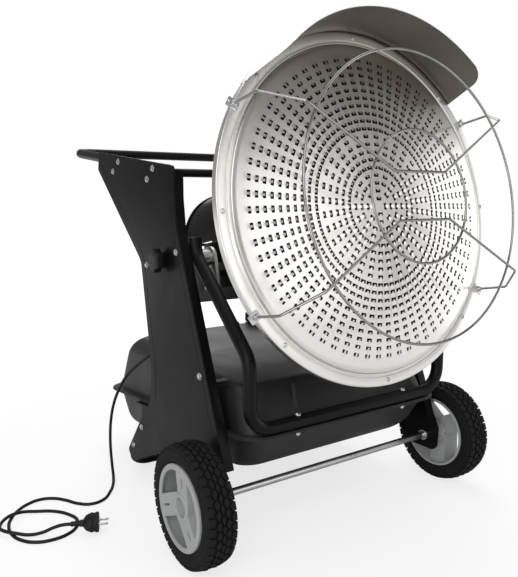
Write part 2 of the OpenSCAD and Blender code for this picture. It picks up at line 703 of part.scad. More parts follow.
module emitter() color(steel) head() along_y() rotate_extrude($fn = 96) {
    a = asin(dome_r / dome_sphere_r);
    c = dome_sphere_r - dome_h;
    steps = 14;
    polygon(concat(
        [for (i = [0:steps]) [dome_sphere_r * sin(a * i / steps), c - dome_sphere_r * cos(a * i / steps)]],
        [[dome_r, groove_depth - steel_t], [dome_r - steel_t, groove_depth - steel_t]],
        [for (i = [steps:-1:0]) let (b = a * i / steps * (dome_r - steel_t) / dome_r)
            [(dome_sphere_r - steel_t) * sin(b), c - (dome_sphere_r - steel_t) * cos(b)]]));
}
module dish_screws() color(zinc) head() ring_of(dish_screws, screw_circle_r) along_y() {
    translate([0, 0, -2.6]) cylinder(h = 2.6, r = 4.6);
    translate([0, 0, -e]) cylinder(h = 8, r = 2.4);
}

module sheet_sector(r0, r1, y0, y1) along_y() translate([0, 0, y0]) difference() {
    cylinder(h = y1 - y0, r = r1, $fn = 144);
    translate([0, 0, -1]) cylinder(h = y1 - y0 + 2, r = r0, $fn = 144);
}
visor_back = 13;
lap_w = 26;
module visor() color(steel) head() {
    w = dish_r * sin(visor_angle);
    intersection() {
        sheet_sector(dish_r, dish_r + visor_t, -visor_len, visor_back);
        translate([0, 0, 50]) linear_extrude(dish_r) polygon(rounded([[-w, visor_back, 0],
            [22 - w, -visor_len, visor_corner_r], [w - 22, -visor_len, visor_corner_r],
            [w, visor_back, 0]]));
    }
    intersection() {
        sheet_sector(dish_r + visor_t - e, dish_r + 2 * visor_t, 1 - visor_len, visor_back);
        translate([-lap_w / 2, -200, 100]) cube([lap_w, 400, dish_r]);
    }
}
module visor_rivets() color(zinc) head() for (y = [-visor_len + 24, -14])
    translate([0, y, dish_r + 2 * visor_t]) cylinder(h = 1.6, r = 4);

// Guard

wire_r = wire_d / 2;
clip_x = 297;
clip_z = 184;
module guard_wire() bent_rod([[-clip_x, -wire_end_h, clip_z], [-clip_x, -guard_knee, clip_z],
    [-clip_x * 0.826, -guard_h, clip_z * 0.826], [-65, -guard_h, 43.6], [65, -guard_h, 43.6],
    [clip_x * 0.826, -guard_h, clip_z * 0.826], [clip_x, -guard_knee, clip_z],
    [clip_x, -wire_end_h, clip_z]], wire_r, 9);
module guard() color(zinc) head() {
    guard_wire();
    mirror([0, 0, 1]) guard_wire();
    for (d = [guard_outer_d, guard_inner_d]) translate([0, -ring_h, 0]) along_y()
        rotate_extrude($fn = 96) translate([d / 2, 0]) circle(r = wire_r, $fn = 16);
}
module guard_clips() color(zinc) head() for (a = [-1, 1], b = [-1, 1])
    scale([a, 1, b]) translate([clip_x, 0, clip_z]) rotate([0, -clip_angle, 0]) difference() {
        union() {
            translate([-11, -2, -9]) cube([24, 2, 18]);
            translate([-5, -10, -5]) cube([10, 8 + e, 10]);
        }
        translate([0, -20, 0]) along_y() cylinder(h = 20 - wire_end_h, r = wire_r + thread_gap);
    }

// Burner

module chamber() color(steel) head() along_y() difference() {
    union() {
        translate([0, 0, pan_rear]) cylinder(h = chamber_len, r = chamber_r);
        translate([0, 0, pan_rear]) cylinder(h = 2, r = chamber_r + 12);
    }
    translate([0, 0, pan_rear - 1]) cylinder(h = chamber_len - 1, r = chamber_r - 2);
    translate([0, 0, chamber_rear - 5]) cylinder(h = 10, r = blast_r + run_gap);
}

module half_disc(r, y0, t) translate([0, y0, 0]) intersection() {
    along_y() cylinder(h = t, r = r);
    translate([-r - 1, -1, 0]) cube([2 * r + 2, t + 2, r + 1]);
}
// Half the width that stays open between the legs of the hood
leg_gap = 80;
module hood() color(black) head() difference() {
    union() {
        difference() {
            half_disc(hood_r, hood_front, hood_len);
            half_disc(hood_r - plate_t, hood_front + plate_t, hood_len);
            translate([-hood_r + plate_t, hood_front + plate_t, -1])
                cube([2 * (hood_r - plate_t), hood_len, 2]);
        }
        for (x = [-hood_r, leg_gap]) translate([x, hood_front, tray_floor])
            cube([hood_r - leg_gap, plate_t, -tray_floor + e]);
    }
    along_y() translate([0, 0, hood_front - 1]) cylinder(h = 5, r = blast_r + run_gap);
}

slot_h = 7;
module hood_grille() color(black) head() difference() {
    union() {
        half_disc(hood_r - plate_t, hood_rear - 8, 2);
        translate([plate_t - hood_r, hood_rear - 8, box_top]) cube([2 * (hood_r - plate_t), 2, -box_top + e]);
        difference() {
            half_disc(hood_r + 3, hood_rear - 6, 8);
            along_y() translate([0, 0, hood_rear - 10]) cylinder(h = 12, r = hood_r);
        }
        difference() {
            half_disc(hood_r + 3, hood_rear, 2);
            along_y() translate([0, 0, hood_rear - 1]) cylinder(h = 5, r = hood_r - 6);
        }
    }
    for (z = [box_top + 12:2 * slot_h:hood_r - 20]) let (w = z > 0 ? sqrt(pow(hood_r - 12, 2)
        - pow(z + slot_h, 2)) : hood_r - 14)
        translate([-w, hood_rear - 9, z]) cube([2 * w, 4, slot_h]);
}

slot_w = 26;
module burner_tray() color(black) head() difference() {
    translate([-tray_half_w, tray_front, -tray_drop])
        cube([2 * tray_half_w, tray_rear - tray_front, tray_wall_h]);
    translate([tray_t - tray_half_w, tray_front - 1, tray_floor])
        cube([2 * (tray_half_w - tray_t), tray_rear - tray_front + 2, tray_wall_h]);
    translate([hose_at.x - slot_w / 2, pivot_back - 8, -tray_drop - 1]) cube([slot_w, 66, 5]);
}

module chamber_saddles() color(black) head() difference() {
    for (y = [tray_front + 15, chamber_rear - 25]) translate([-80, y, tray_floor])
        cube([160, 4, 70]);
    along_y() translate([0, 0, pan_rear]) cylinder(h = chamber_len + 20, r = chamber_r);
}

lug_x = tray_half_w - tray_t - 8;
module pivot_lugs() color(zinc) head() both() difference() {
    translate([lug_x, 0, 0]) rotate([90, 0, 90]) linear_extrude(8) polygon(rounded([
        [pivot_back - 34, tray_floor, 0], [pivot_back + 34, tray_floor, 0],
        [pivot_back + 24, 24 - pivot_drop, 20], [pivot_back - 24, 24 - pivot_drop, 20]]));
    cross_rod([pivot_back, -pivot_drop], lug_x - 1, 10, 8);
}

channel_face = px_in - channel_depth;
module pivot_studs() color(zinc) head() both() {
    cross_rod([pivot_back, -pivot_drop], lug_x - 2, 12, 8);
    cross_rod([pivot_back, -pivot_drop], lug_x + 8, channel_face - 0.8 - lug_x - 8, boss_d / 2);
    cross_rod([pivot_back, -pivot_drop], channel_face - 1, stud_end - channel_face + 1, stud_d / 2);
}

module fan_housing() color(black) head() {
    along_y() difference() {
        translate([0, 0, fan_front]) cylinder(h = fan_rear - fan_front, r = housing_r + 2);
        translate([0, 0, fan_front + 2]) cylinder(h = fan_rear - fan_front - 4, r = housing_r);
        translate([0, 0, fan_front - 1]) cylinder(h = 5, r = blast_r - 2);
        translate([0, 0, fan_rear - 5]) cylinder(h = 10, r = 12);
        for (a = [0:45:315]) rotate([0, 0, a + 22.5]) translate([housing_r - 14, 0, fan_rear - 5])
            cylinder(h = 10, r = 9);
    }
    difference() {
        translate([-40, fan_front + 16, tray_floor]) cube([80, 4, 80]);
        along_y() translate([0, 0, fan_front]) cylinder(h = 60, r = housing_r + 1);
    }
}

motor_r = 42;
shaft_r = 5;
module motor() color(grey) head() along_y() translate([0, 0, fan_rear]) difference() {
    union() {
        cylinder(h = 66, r = motor_r);
        translate([0, 0, 66 - e]) cylinder(h = 5, r = 22);
    }
    translate([0, 0, -1]) cylinder(h = 46, r = shaft_r + run_gap);
}

module fan_wheel() color(zinc) head() along_y() {
    blade_front = fan_front + 8;
    disc_at = fan_rear - 12;
    translate([0, 0, blade_front]) cylinder(h = fan_rear - blade_front + 42, r = shaft_r);
    translate([0, 0, disc_at - 20]) cylinder(h = 22, r = 14);
    translate([0, 0, disc_at]) cylinder(h = 2, r = fan_d / 2);
    for (i = [0:fan_blades - 1]) rotate([0, 0, 360 / fan_blades * i])
        translate([fan_d / 2 - 24, -0.75, blade_front]) rotate([0, 0, 20])
            cube([23, 1.5, disc_at - blade_front + e]);
}

module blast_tube() color(steel) head() along_y() translate([0, 0, chamber_rear - 6]) difference() {
    cylinder(h = fan_front - chamber_rear + 6, r = blast_r);
    translate([0, 0, -1]) cylinder(h = fan_front - chamber_rear + 8, r = blast_r - 2);
}

spider_at = chamber_rear + 50;
module nozzle() color(zinc) head() along_y() difference() {
    union() {
        translate([0, 0, spider_at - 34]) cylinder(h = 14, r1 = 4, r2 = 8);
        translate([0, 0, spider_at - 20 - e]) cylinder(h = 44, r = 8);
        translate([0, 0, spider_at]) cylinder(h = 2, r = blast_r - 2);
    }
    for (a = [0, 60, 120, 180]) rotate([0, 0, a]) translate([28, 0, spider_at - 1])
        cylinder(h = 4, r = 9);
    for (a = [-1, 1]) translate([14 * a, -18, spider_at - 1]) cylinder(h = 4, r = 4 + run_gap);
}
module electrodes() color("#e6e2da") head() along_y() for (a = [-1, 1]) translate([14 * a, -18, 0]) {
    translate([0, 0, spider_at - 22]) cylinder(h = 44, r = 4);
    translate([0, 0, spider_at - 38]) cylinder(h = 18, r = 1.2);
}

pump_at = [-131, fan_front - 12, -78];
pump_r = 20;
module fuel_pump() color(grey) head() {
    translate([pump_at.x - 19, pump_at.y, pump_at.z]) rotate([0, 90, 0]) cylinder(h = 38, r = pump_r);
    translate([pump_at.x - 19, pump_at.y - 12, tray_floor]) cube([38, 24, pump_at.z - tray_floor - 8]);
}
line_r = 3.5;
line_low = -14;
line_high = -28;
line_front = pump_at.y - 36;
module fuel_line() color(zinc) head() {
    bent_rod([[hose_at.x, pivot_back + 1, -pivot_drop - 5], [hose_at.x, pivot_back + 1, line_high],
        [hose_at.x, pump_at.y, line_high], [hose_at.x, pump_at.y, pump_at.z], [pump_at.x + 19, pump_at.y,
        pump_at.z]], line_r, 12);
    bent_rod([[pump_at.x, pump_at.y - pump_r - free_gap, pump_at.z], [pump_at.x, line_front, pump_at.z],
        [pump_at.x, line_front, line_low],
        [-sqrt(pow(blast_r, 2) - pow(line_low + line_r, 2)), line_front, line_low]], line_r, 12);
}

// The ignition box hangs from the lower edge of the hood, above the pump
ignition_h = 45;
module ignition_box() color(black) head() translate([pump_at.x - 19, pump_at.y - 10, 0]) {
    translate([0, 0, -ignition_h - 12]) cube([48, 42, ignition_h]);
    translate([15, 4, -12 - e]) cube([12, 34, 12 + e]);
}

// Controls at the rear of the tray

module control_box() color(black) head() difference() {
    union() {
        difference() {
            translate([-hood_r + plate_t, box_front, tray_floor])
                cube([2 * (hood_r - plate_t), box_rear - box_front, box_top - tray_floor]);
            translate([-hood_r + plate_t + 2, box_front + 2, tray_floor + 2])
                cube([2 * (hood_r - plate_t) - 4, box_rear - box_front - 4, box_top - tray_floor - 4]);
        }
        translate([switch_at.x - 18, box_rear - 9, switch_at.z - 13]) cube([36, 12, 26]);
    }
    translate([switch_at.x - 13, box_rear - 12, switch_at.z - 8]) cube([26, 20, 16]);
    translate([switch_at.x - 15.5, switch_at.y, switch_at.z]) rotate([0, 90, 0])
        cylinder(h = 31, r = 1.5 + run_gap);
    along_y() translate([dial_at.x, -dial_at.z, dial_at.y - 5]) cylinder(h = 10, r = 3 + run_gap);
}
module power_switch() color(black) head() translate(switch_at) {
    rotate([10, 0, 0]) translate([-12.7, -4.5, -6]) cube([25.4, 9, 12]);
    translate([-15.3, 0, 0]) rotate([0, 90, 0]) cylinder(h = 30.6, r = 1.5);
}
module thermostat_dial() color(black) head() translate(dial_at) along_y() {
    translate([0, 0, -8]) cylinder(h = 9, r = 3);
    translate([0, 0, 0.4]) cylinder(h = 14, r1 = 17, r2 = 14.5);
    translate([-1.2, -14, 13]) cube([2.4, 14, 3]);
}

// Clamping knobs on the tilt studs

star = [for (i = [0:11]) let (r = knob_d / 2 - (i % 2 == 0 ? 0 : 8))
    [r * cos(30 * i), r * sin(30 * i), i % 2 == 0 ? 5 : 7]];
module knob() color(black) put() translate([knob_start, pivot_y, pivot_z]) rotate([0, 90, 0])
    difference() {
        union() {
            cylinder(h = knob_hub + 3, r = 15);
            translate([0, 0, knob_hub]) linear_extrude(knob_t) polygon(rounded(star));
        }
        translate([0, 0, -1]) cylinder(h = stud_end - knob_start + 2, r = stud_d / 2 + run_gap);
    }
module left_knob() mirror([1, 0, 0]) knob();
module right_knob() knob();

// Wheels

rim_r = rim_d / 2;
hub_r = hub_d / 2;
tyre_x = px_out + wheel_gap;
// A flat ring just outside the tyre, and a hub sunk below it with a well round the axle's end
rim_face = tyre_x + wheel_w + 1;
rim_lip = 11;
rim_lip_t = 5;
rim_wall = 5;
hub_from = px_out + 1.6;
hub_face = rim_face - 6;
hub_well_r = 19;
hub_well_x = axle_reach - 3.8;
// The spokes pass beside the axle, and each has a slot along its middle
spoke_from = tyre_x + 14;
spoke_root = -4;
spoke_shift = 8;
spoke_slot_w = 3;
spoke_slot_end = 18;
spoke_side = [[0, spoke_from], [rim_r - rim_wall / 2, spoke_from], [rim_r - rim_wall / 2, rim_face],
    [rim_r - rim_lip, rim_face], [hub_r, hub_face], [0, hub_face]];
module spokes_at(turn) for (i = [0:spokes - 1]) rotate([0, 0, turn + 360 / spokes * i]) children();
module rim(turn, shift) color(grey) put() translate([0, 0, axle_z]) rotate([0, 90, 0]) difference() {
    union() {
        difference() {
            translate([0, 0, tyre_x]) cylinder(h = rim_face - tyre_x, r = rim_r, $fn = 96);
            translate([0, 0, tyre_x - 1])
                cylinder(h = rim_face - rim_lip_t - tyre_x + 1, r = rim_r - rim_wall, $fn = 96);
            translate([0, 0, tyre_x]) cylinder(h = 2 * wheel_w, r = rim_r - rim_lip, $fn = 96);
        }
        translate([0, 0, hub_from]) cylinder(h = hub_face - hub_from, r = hub_r);
        intersection() {
            rotate_extrude($fn = 96) polygon(spoke_side);
            spokes_at(turn) translate([spoke_root, shift - spoke_w / 2, tyre_x])
                cube([rim_r, spoke_w, 2 * wheel_w]);
        }
    }
    spokes_at(turn) translate([hub_r + spoke_slot_end, shift - spoke_slot_w / 2, hub_face - 8])
        cube([rim_r - hub_r - 2 * spoke_slot_end, spoke_slot_w, wheel_w]);
    translate([0, 0, px_out]) cylinder(h = 200, r = axle_d / 2 + run_gap);
    translate([0, 0, hub_well_x]) cylinder(h = wheel_w, r = hub_well_r);
}
module left_rim() mirror([1, 0, 0]) rim(186, spoke_shift);
module right_rim() rim(242, -spoke_shift);
module tyre() color(rubber) put() translate([0, 0, axle_z]) rotate([0, 90, 0])
    rotate_extrude($fn = 96) polygon(rounded([[rim_r, tyre_x + 4, 0], [axle_z, tyre_x, 12],
        [axle_z, tyre_x + wheel_w, 12], [rim_r, tyre_x + wheel_w - 4, 0]]));
module left_tyre() mirror([1, 0, 0]) tyre();
module right_tyre() tyre();

left_panel();
right_panel();
handle_tube();
rear_brace();
arm_rails();
front_tube();
foot_tube();
left_pivot_channel();
right_pivot_channel();
panel_bolts();
panel_nuts();
tank_straps();
tank_bolts();
axle();
axle_collars();
axle_clips();
tank_bottom();
tank_top();
filler_neck();
fuel_gauge();
hose_fitting();
suction_hose();
lead_clamp();
mains_lead();
plug();
inner_lead();
rear_pan();
dish_flange();
emitter();
dish_screws();
visor();
visor_rivets();
guard();
guard_clips();
chamber();
hood();
hood_grille();
burner_tray();
chamber_saddles();
pivot_lugs();
pivot_studs();
fan_housing();
motor();
blast_tube();
nozzle();
electrodes();
ignition_box();
fuel_pump();
fuel_line();
control_box();
fan_wheel();
power_switch();
thermostat_dial();
left_knob();
right_knob();
fuel_cap();
left_rim();
right_rim();
left_tyre();
right_tyre();
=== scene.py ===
# %% [markdown]
# An oil-fired infrared heater stands on two wheels and a bent foot. A stainless dish with a visor and a
# wire guard looks forward, a burner sits behind it, and two black side panels, a fuel tank and a long
# handle carry it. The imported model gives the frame: every piece made here sits where the frame says.

# %%
from math import atan2, cos, pi, radians, sin, sqrt, tan
import bmesh
import bpy
from mathutils import Matrix, Vector


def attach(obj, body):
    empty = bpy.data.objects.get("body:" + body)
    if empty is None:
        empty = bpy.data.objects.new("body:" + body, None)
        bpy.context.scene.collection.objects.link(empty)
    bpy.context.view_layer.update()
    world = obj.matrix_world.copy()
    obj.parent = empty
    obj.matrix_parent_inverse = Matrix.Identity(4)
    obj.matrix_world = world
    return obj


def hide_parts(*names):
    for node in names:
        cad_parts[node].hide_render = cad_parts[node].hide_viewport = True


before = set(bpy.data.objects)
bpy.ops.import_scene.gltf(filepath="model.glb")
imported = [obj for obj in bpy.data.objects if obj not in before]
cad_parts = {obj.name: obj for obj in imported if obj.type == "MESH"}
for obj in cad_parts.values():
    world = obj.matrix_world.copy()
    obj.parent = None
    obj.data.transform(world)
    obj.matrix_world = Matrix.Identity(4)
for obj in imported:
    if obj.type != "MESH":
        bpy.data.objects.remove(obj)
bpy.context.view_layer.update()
scene = bpy.context.scene

# %% [markdown]
# Two matrices save a lot of sums. Sizes are easier to read in millimetres measured from the wheel axle,
# so `PUT` turns such a place into metres in the model's frame. The dish head is tilted back as one unit,
# and `HEAD` does the same for a place given as x, distance behind the flange, and height over its axis.

# %%
MID_Y = 282.612
TILT = radians(10.7)
PIVOT = Vector((0, 225, 568))
PIVOT_BACK, PIVOT_DROP = 335, 51


def at(x, y, z):
    return Matrix.Translation((x, y, z))


def about(axis, angle):
    return Matrix.Rotation(angle, 4, axis)


PUT = Matrix.Scale(0.001, 4) @ at(0, -MID_Y, 0)
HEAD = PUT @ at(*PIVOT) @ about("X", -TILT) @ at(0, -PIVOT_BACK, PIVOT_DROP)
# What is drawn along Z, or flat in XY, is laid along Y or X, or stood up in YZ
ALONG_Y, ALONG_X = about("X", -pi / 2), about("Y", pi / 2)
UPRIGHT = Matrix(((0, 0, 1, 0), (1, 0, 0, 0), (0, 1, 0, 0), (0, 0, 0, 1)))
print("dish centre", HEAD @ Vector((0, 0, 0)))

# %% [markdown]
# The camera comes first, because the cord is laid out for its view. Its place and turn come from the
# heater's known edges in the photograph. Its focal length is in pixels of the 577 high picture, and
# Blender wants it in millimetres of a 36 mm sensor along the longer side.

# %%
PICTURE = (518, 577)
FOCAL_PX = 636.785
camera = bpy.data.objects.new("camera", bpy.data.cameras.new("camera"))
scene.collection.objects.link(camera)
YAW, PITCH = radians(33.950), radians(8.5095)
camera.rotation_euler = (pi / 2 - PITCH, 0, -YAW)
camera.location = PUT @ Vector((-889.941, -1024.518, 708.022))
camera.data.sensor_width = 36
camera.data.lens = FOCAL_PX / PICTURE[1] * 36
camera.data.shift_x = -0.0011
camera.data.shift_y = 0.0021
scene.camera = camera
print("lens", round(camera.data.lens, 2))

# %% [markdown]
# A mains lead is a thick soft line. A curve with a round bevel is the plain way to make it: the curve's
# own line is the lead's centre, and points with automatic handles give even bends. This lead leaves the
# gland on the left panel, drops behind the wheel and makes one loop on the floor before its plug.

# %%
CORD_D = 7.2
mains_route = [
    (-284, 276, 350), (-284, 296, 350), (-285, 322, 342), (-288, 347, 327),
    (-294, 374, 308), (-301, 400, 289), (-307, 425, 268), (-313, 446, 244), (-320, 464, 214),
    (-327, 477, 180), (-333, 482, 143), (-338, 479, 104), (-342, 469, 66), (-346, 452, 32),
    (-354, 424, 12), (-366, 396, 6), (-386, 365, 4), (-414, 337, 3.6), (-444, 334, 3.6),
    (-468, 354, 3.6), (-486, 385, 3.6), (-509, 411, 3.6), (-536, 421, 3.6), (-564, 414, 3.6),
    (-590, 395, 3.6), (-611, 367, 3.6), (-624, 333, 3.6), (-626, 297, 3.6), (-615, 262, 3.6),
    (-593, 238, 3.6), (-562, 228, 3.6), (-530, 232, 3.6), (-505, 250, 3.6), (-493, 278, 3.6),
    (-500, 312, 3.6), (-523, 346, 3.6), (-556, 366, 4.5), (-592, 371, 10), (-622, 359, 12),
    (-642, 334, 9), (-640, 305, 12), (-622, 284, 11), (-598, 271, 6), (-573, 261, 8),
    (-552, 251, 17), (-534, 243, 21.5), (-520, 237, 21.5)]
inner_route = [
    (-284, 264, 350), (-284, 246, 350), (-283, 224, 360), (-279, 210, 386), (-268, 206, 424),
    (-252, 210, 468), (-238, 220, 510), (-232, 225, 540), (-232, 225, 548)]
hose_route = [(60, 225, 326), (60, 225, 400), (60, 225, 480), (60, 225, 561.5)]


def run_of(points):
    """Length of a line through points given in millimetres, in metres."""
    return sum((Vector(b) - Vector(a)).length for a, b in zip(points, points[1:])) / 1000


print("mains lead", round(run_of(mains_route), 3), "m")

# %% [markdown]
# Materials come next, because each piece takes one as it is made. One helper builds a Principled shader
# with slow patches in its colour and roughness and a fine grain as bump. All patterns read the object's
# own coordinates in metres, so a scale of 900 makes a grain of about a millimetre.

# %%
def wire_up(tree, *pairs):
    for out, socket in pairs:
        tree.links.new(out, socket)


GRAIN_DEPTH = 0.0004


def finish(name, colour, rough, metal=0.0, patch=14.0, shade=0.10, spread=0.05, grain=900.0, bump=0.06,
           specular=0.5):
    """Shader with a colour that drifts by shade, a roughness that drifts by spread, and a grain."""
    mat = bpy.data.materials.new(name)
    mat.use_nodes = True
    mat.diffuse_color = (*colour, 1)
    tree = mat.node_tree
    shader = tree.nodes["Principled BSDF"]
    shader.inputs["Metallic"].default_value = metal
    shader.inputs["Specular IOR Level"].default_value = specular
    coords = tree.nodes.new("ShaderNodeTexCoord")
    place = tree.nodes.new("ShaderNodeMapping")
    slow = tree.nodes.new("ShaderNodeTexNoise")
    slow.inputs["Scale"].default_value = patch
    slow.inputs["Detail"].default_value = 5
    tint = tree.nodes.new("ShaderNodeValToRGB")
    tint.color_ramp.elements[0].position = 0.32
    tint.color_ramp.elements[1].position = 0.68
    tint.color_ramp.elements[0].color = (*[c * (1 - shade) for c in colour], 1)
    tint.color_ramp.elements[1].color = (*[min(1, c * (1 + shade)) for c in colour], 1)
    sheen = tree.nodes.new("ShaderNodeMapRange")
    for socket, value in (("From Min", 0.3), ("From Max", 0.7), ("To Min", rough - spread),
                          ("To Max", rough + spread)):
        sheen.inputs[socket].default_value = value
    fine = tree.nodes.new("ShaderNodeTexNoise")
    fine.inputs["Scale"].default_value = grain
    fine.inputs["Detail"].default_value = 3
    relief = tree.nodes.new("ShaderNodeBump")
    relief.inputs["Strength"].default_value = bump
    relief.inputs["Distance"].default_value = GRAIN_DEPTH
    wire_up(tree,
            (coords.outputs["Object"], place.inputs["Vector"]),
            (place.outputs["Vector"], fine.inputs["Vector"]),
            (coords.outputs["Object"], slow.inputs["Vector"]),
            (slow.outputs["Fac"], tint.inputs["Fac"]),
            (tint.outputs["Color"], shader.inputs["Base Color"]),
            (slow.outputs["Fac"], sheen.inputs["Value"]),
            (sheen.outputs["Result"], shader.inputs["Roughness"]),
            (fine.outputs["Fac"], relief.inputs["Height"]),
            (relief.outputs["Normal"], shader.inputs["Normal"]))
    return mat


black_paint = finish("black satin paint", (0.0040, 0.0040, 0.0043), 0.34, grain=1400, bump=0.05,
                     specular=0.12)
tube_paint = finish("black tube paint", (0.0040, 0.0040, 0.0042), 0.36, grain=1400, bump=0.05, specular=0.16)
tank_plastic = finish("dark grey tank plastic", (0.020, 0.0203, 0.0212), 0.46, shade=0.10, grain=1100,
                      bump=0.18, specular=0.32)
black_plastic = finish("black moulded plastic", (0.0070, 0.0070, 0.0075), 0.45, grain=1600, bump=0.12,
                       specular=0.28)
rubber = finish("tyre rubber", (0.0085, 0.0083, 0.0082), 0.78, shade=0.2, grain=700, bump=0.30, specular=0.22)
cord_rubber = finish("cord rubber", (0.0070, 0.0070, 0.0074), 0.48, grain=1500, bump=0.06, specular=0.30)
rim_plastic = finish("light grey rim plastic", (0.40, 0.405, 0.41), 0.52, shade=0.05, grain=1300, bump=0.10)
zinc = finish("bright zinc", (0.58, 0.585, 0.59), 0.30, metal=1, patch=30, shade=0.06, spread=0.04, grain=900,
              bump=0.015)
wire_steel = finish("bright wire", (0.33, 0.325, 0.315), 0.20, metal=1, patch=12, shade=0.05, spread=0.02,
                    grain=900, bump=0.01)
stainless = finish("stainless sheet", (0.80, 0.785, 0.76), 0.30, metal=1, patch=7, shade=0.03, spread=0.03,
                   grain=420, bump=0.02)
warm_steel = finish("heat tinted stainless", (0.42, 0.385, 0.34), 0.34, metal=1, patch=12, shade=0.10,
                    spread=0.04, grain=420, bump=0.03)
# The visor's inner side takes a darker copy of the stainless, which is painted shade
visor_painted_shade = finish("shaded stainless", (0.23, 0.215, 0.20), 0.30, metal=1, patch=7, shade=0.12,
                      spread=0.04, grain=420, bump=0.02)
soot = finish("sooty inside", (0.012, 0.011, 0.010), 0.80, grain=300, bump=0.3, specular=0.2)
# Darker than bare aluminium: the dark grey is painted shade for the motor and pump under the hood
cast = finish("cast aluminium in painted shade", (0.15, 0.152, 0.155), 0.50, metal=1, patch=40, shade=0.12, grain=600,
              bump=0.30)
# Darker than bare metal: the near black is painted shade for the fuel pipes under the hood
pipe_steel = finish("pipe steel", (0.10, 0.097, 0.092), 0.38, metal=1, patch=50, grain=900, bump=0.05)
brass = finish("brass", (0.56, 0.42, 0.17), 0.32, metal=1, patch=60, grain=900, bump=0.05)
ceramic = finish("glazed ceramic", (0.78, 0.76, 0.70), 0.22, shade=0.04, grain=500, bump=0.03)
white_mark = finish("white print", (0.72, 0.72, 0.70), 0.50, shade=0.04, grain=900, bump=0.03)
print("finishes", len(bpy.data.materials))

# %% [markdown]
# The flange and the pan are spun on a lathe, which leaves very fine rings round the dish axis. Turning
# the coordinates by the dish's tilt and taking the distance from its axis gives a number that only
# changes across those rings, and a noise of that number is the brushing.

# %%
# A Mapping node with this turn and shift measures places from the middle of the dish, along its axis
DISH_TURN = TILT, 0, 0
DISH_SHIFT = -(Matrix.Rotation(TILT, 3, "X") @ (HEAD @ Vector((0, 0, 0))))


def spun(base, name, lines, strength):
    """Copy of a steel finish whose grain runs in rings round the dish axis."""
    mat = base.copy()
    mat.name = name
    tree = mat.node_tree
    fine = next(n for n in tree.nodes if n.type == "TEX_NOISE" and n.inputs["Scale"].default_value > 100)
    place = next(n for n in tree.nodes if n.type == "MAPPING")
    relief = next(n for n in tree.nodes if n.type == "BUMP")
    place.inputs["Rotation"].default_value = DISH_TURN
    place.inputs["Location"].default_value = DISH_SHIFT
    flat = tree.nodes.new("ShaderNodeVectorMath")
    flat.operation = "MULTIPLY"
    flat.inputs[1].default_value = (1, 0, 1)
    away = tree.nodes.new("ShaderNodeVectorMath")
    away.operation = "LENGTH"
    fine.noise_dimensions = "1D"
    fine.inputs["Scale"].default_value = lines
    relief.inputs["Strength"].default_value = strength
    wire_up(tree,
            (place.outputs["Vector"], flat.inputs[0]),
            (flat.outputs["Vector"], away.inputs[0]),
            (away.outputs["Value"], fine.inputs["W"]))
    return mat


spun_steel = spun(stainless, "spun stainless", lines=1400, strength=0.03)
print("rings about", HEAD @ Vector((0, 0, 0)))


# %%
# The hot gas rises inside the dish and leaves the steel under the visor brown and dull, darkened further as
# painted shade
def heat_tint_and_shade(base, name, start, end, colour, share=0.85):
    """Copy of a steel finish that turns to a heat tint and painted shade between two heights above the dish
    axis.
    """
    mat = base.copy()
    mat.name = name
    tree = mat.node_tree
    shader = tree.nodes["Principled BSDF"]
    clean = shader.inputs["Base Color"].links[0].from_socket
    coords = next(n for n in tree.nodes if n.type == "TEX_COORD")
    place = tree.nodes.new("ShaderNodeMapping")
    place.inputs["Rotation"].default_value = DISH_TURN
    place.inputs["Location"].default_value = DISH_SHIFT
    split = tree.nodes.new("ShaderNodeSeparateXYZ")
    cloud = tree.nodes.new("ShaderNodeTexNoise")
    cloud.inputs["Scale"].default_value = 5.0
    sway = tree.nodes.new("ShaderNodeMath")
    sway.operation = "MULTIPLY_ADD"
    sway.inputs[1].default_value = 0.10
    reach = tree.nodes.new("ShaderNodeMapRange")
    reach.interpolation_type = "SMOOTHSTEP"
    for socket, value in (("From Min", start + 0.05), ("From Max", end + 0.05), ("To Min", 0),
                          ("To Max", share)):
        reach.inputs[socket].default_value = value
    mix = tree.nodes.new("ShaderNodeMix")
    mix.data_type = "RGBA"
    mix.inputs["B"].default_value = (*colour, 1)
    wire_up(tree,
            (coords.outputs["Object"], place.inputs["Vector"]),
            (place.outputs["Vector"], split.inputs[0]),
            (coords.outputs["Object"], cloud.inputs["Vector"]),
            (cloud.outputs["Fac"], sway.inputs[0]),
            (split.outputs["Z"], sway.inputs[2]),
            (sway.outputs[0], reach.inputs["Value"]),
            (reach.outputs["Result"], mix.inputs["Factor"]),
            (clean, mix.inputs["A"]),
            (mix.outputs["Result"], shader.inputs["Base Color"]))
    return mat


# The brown towards the top is partly heat tint and partly painted shade under the visor
dome_steel = heat_tint_and_shade(stainless, "dome stainless", 0.06, 0.30, (0.27, 0.235, 0.20))
flange_steel = heat_tint_and_shade(spun_steel, "flange stainless", 0.20, 0.36, (0.45, 0.41, 0.36), 0.7)
print("heat tints", dome_steel.name, flange_steel.name)

# %% [markdown]
# A few small helpers carry all the modelling. Each returns a bmesh in millimetres about the origin:
# a flat outline with rounded corners, a plate pulled out of it, a body turned from it, a block with soft
# edges and a tube along points. `made` puts such shapes together as one piece at its place.

# %%
def placed(bm, *matrices):
    for m in reversed(matrices):
        bmesh.ops.transform(bm, matrix=m, verts=bm.verts)
    return bm


def mirrored(bm):
    bmesh.ops.scale(bm, vec=(-1, 1, 1), verts=bm.verts)
    bmesh.ops.reverse_faces(bm, faces=bm.faces)
    return bm


def copied(bm, *matrices):
    return placed(bm.copy(), *matrices)


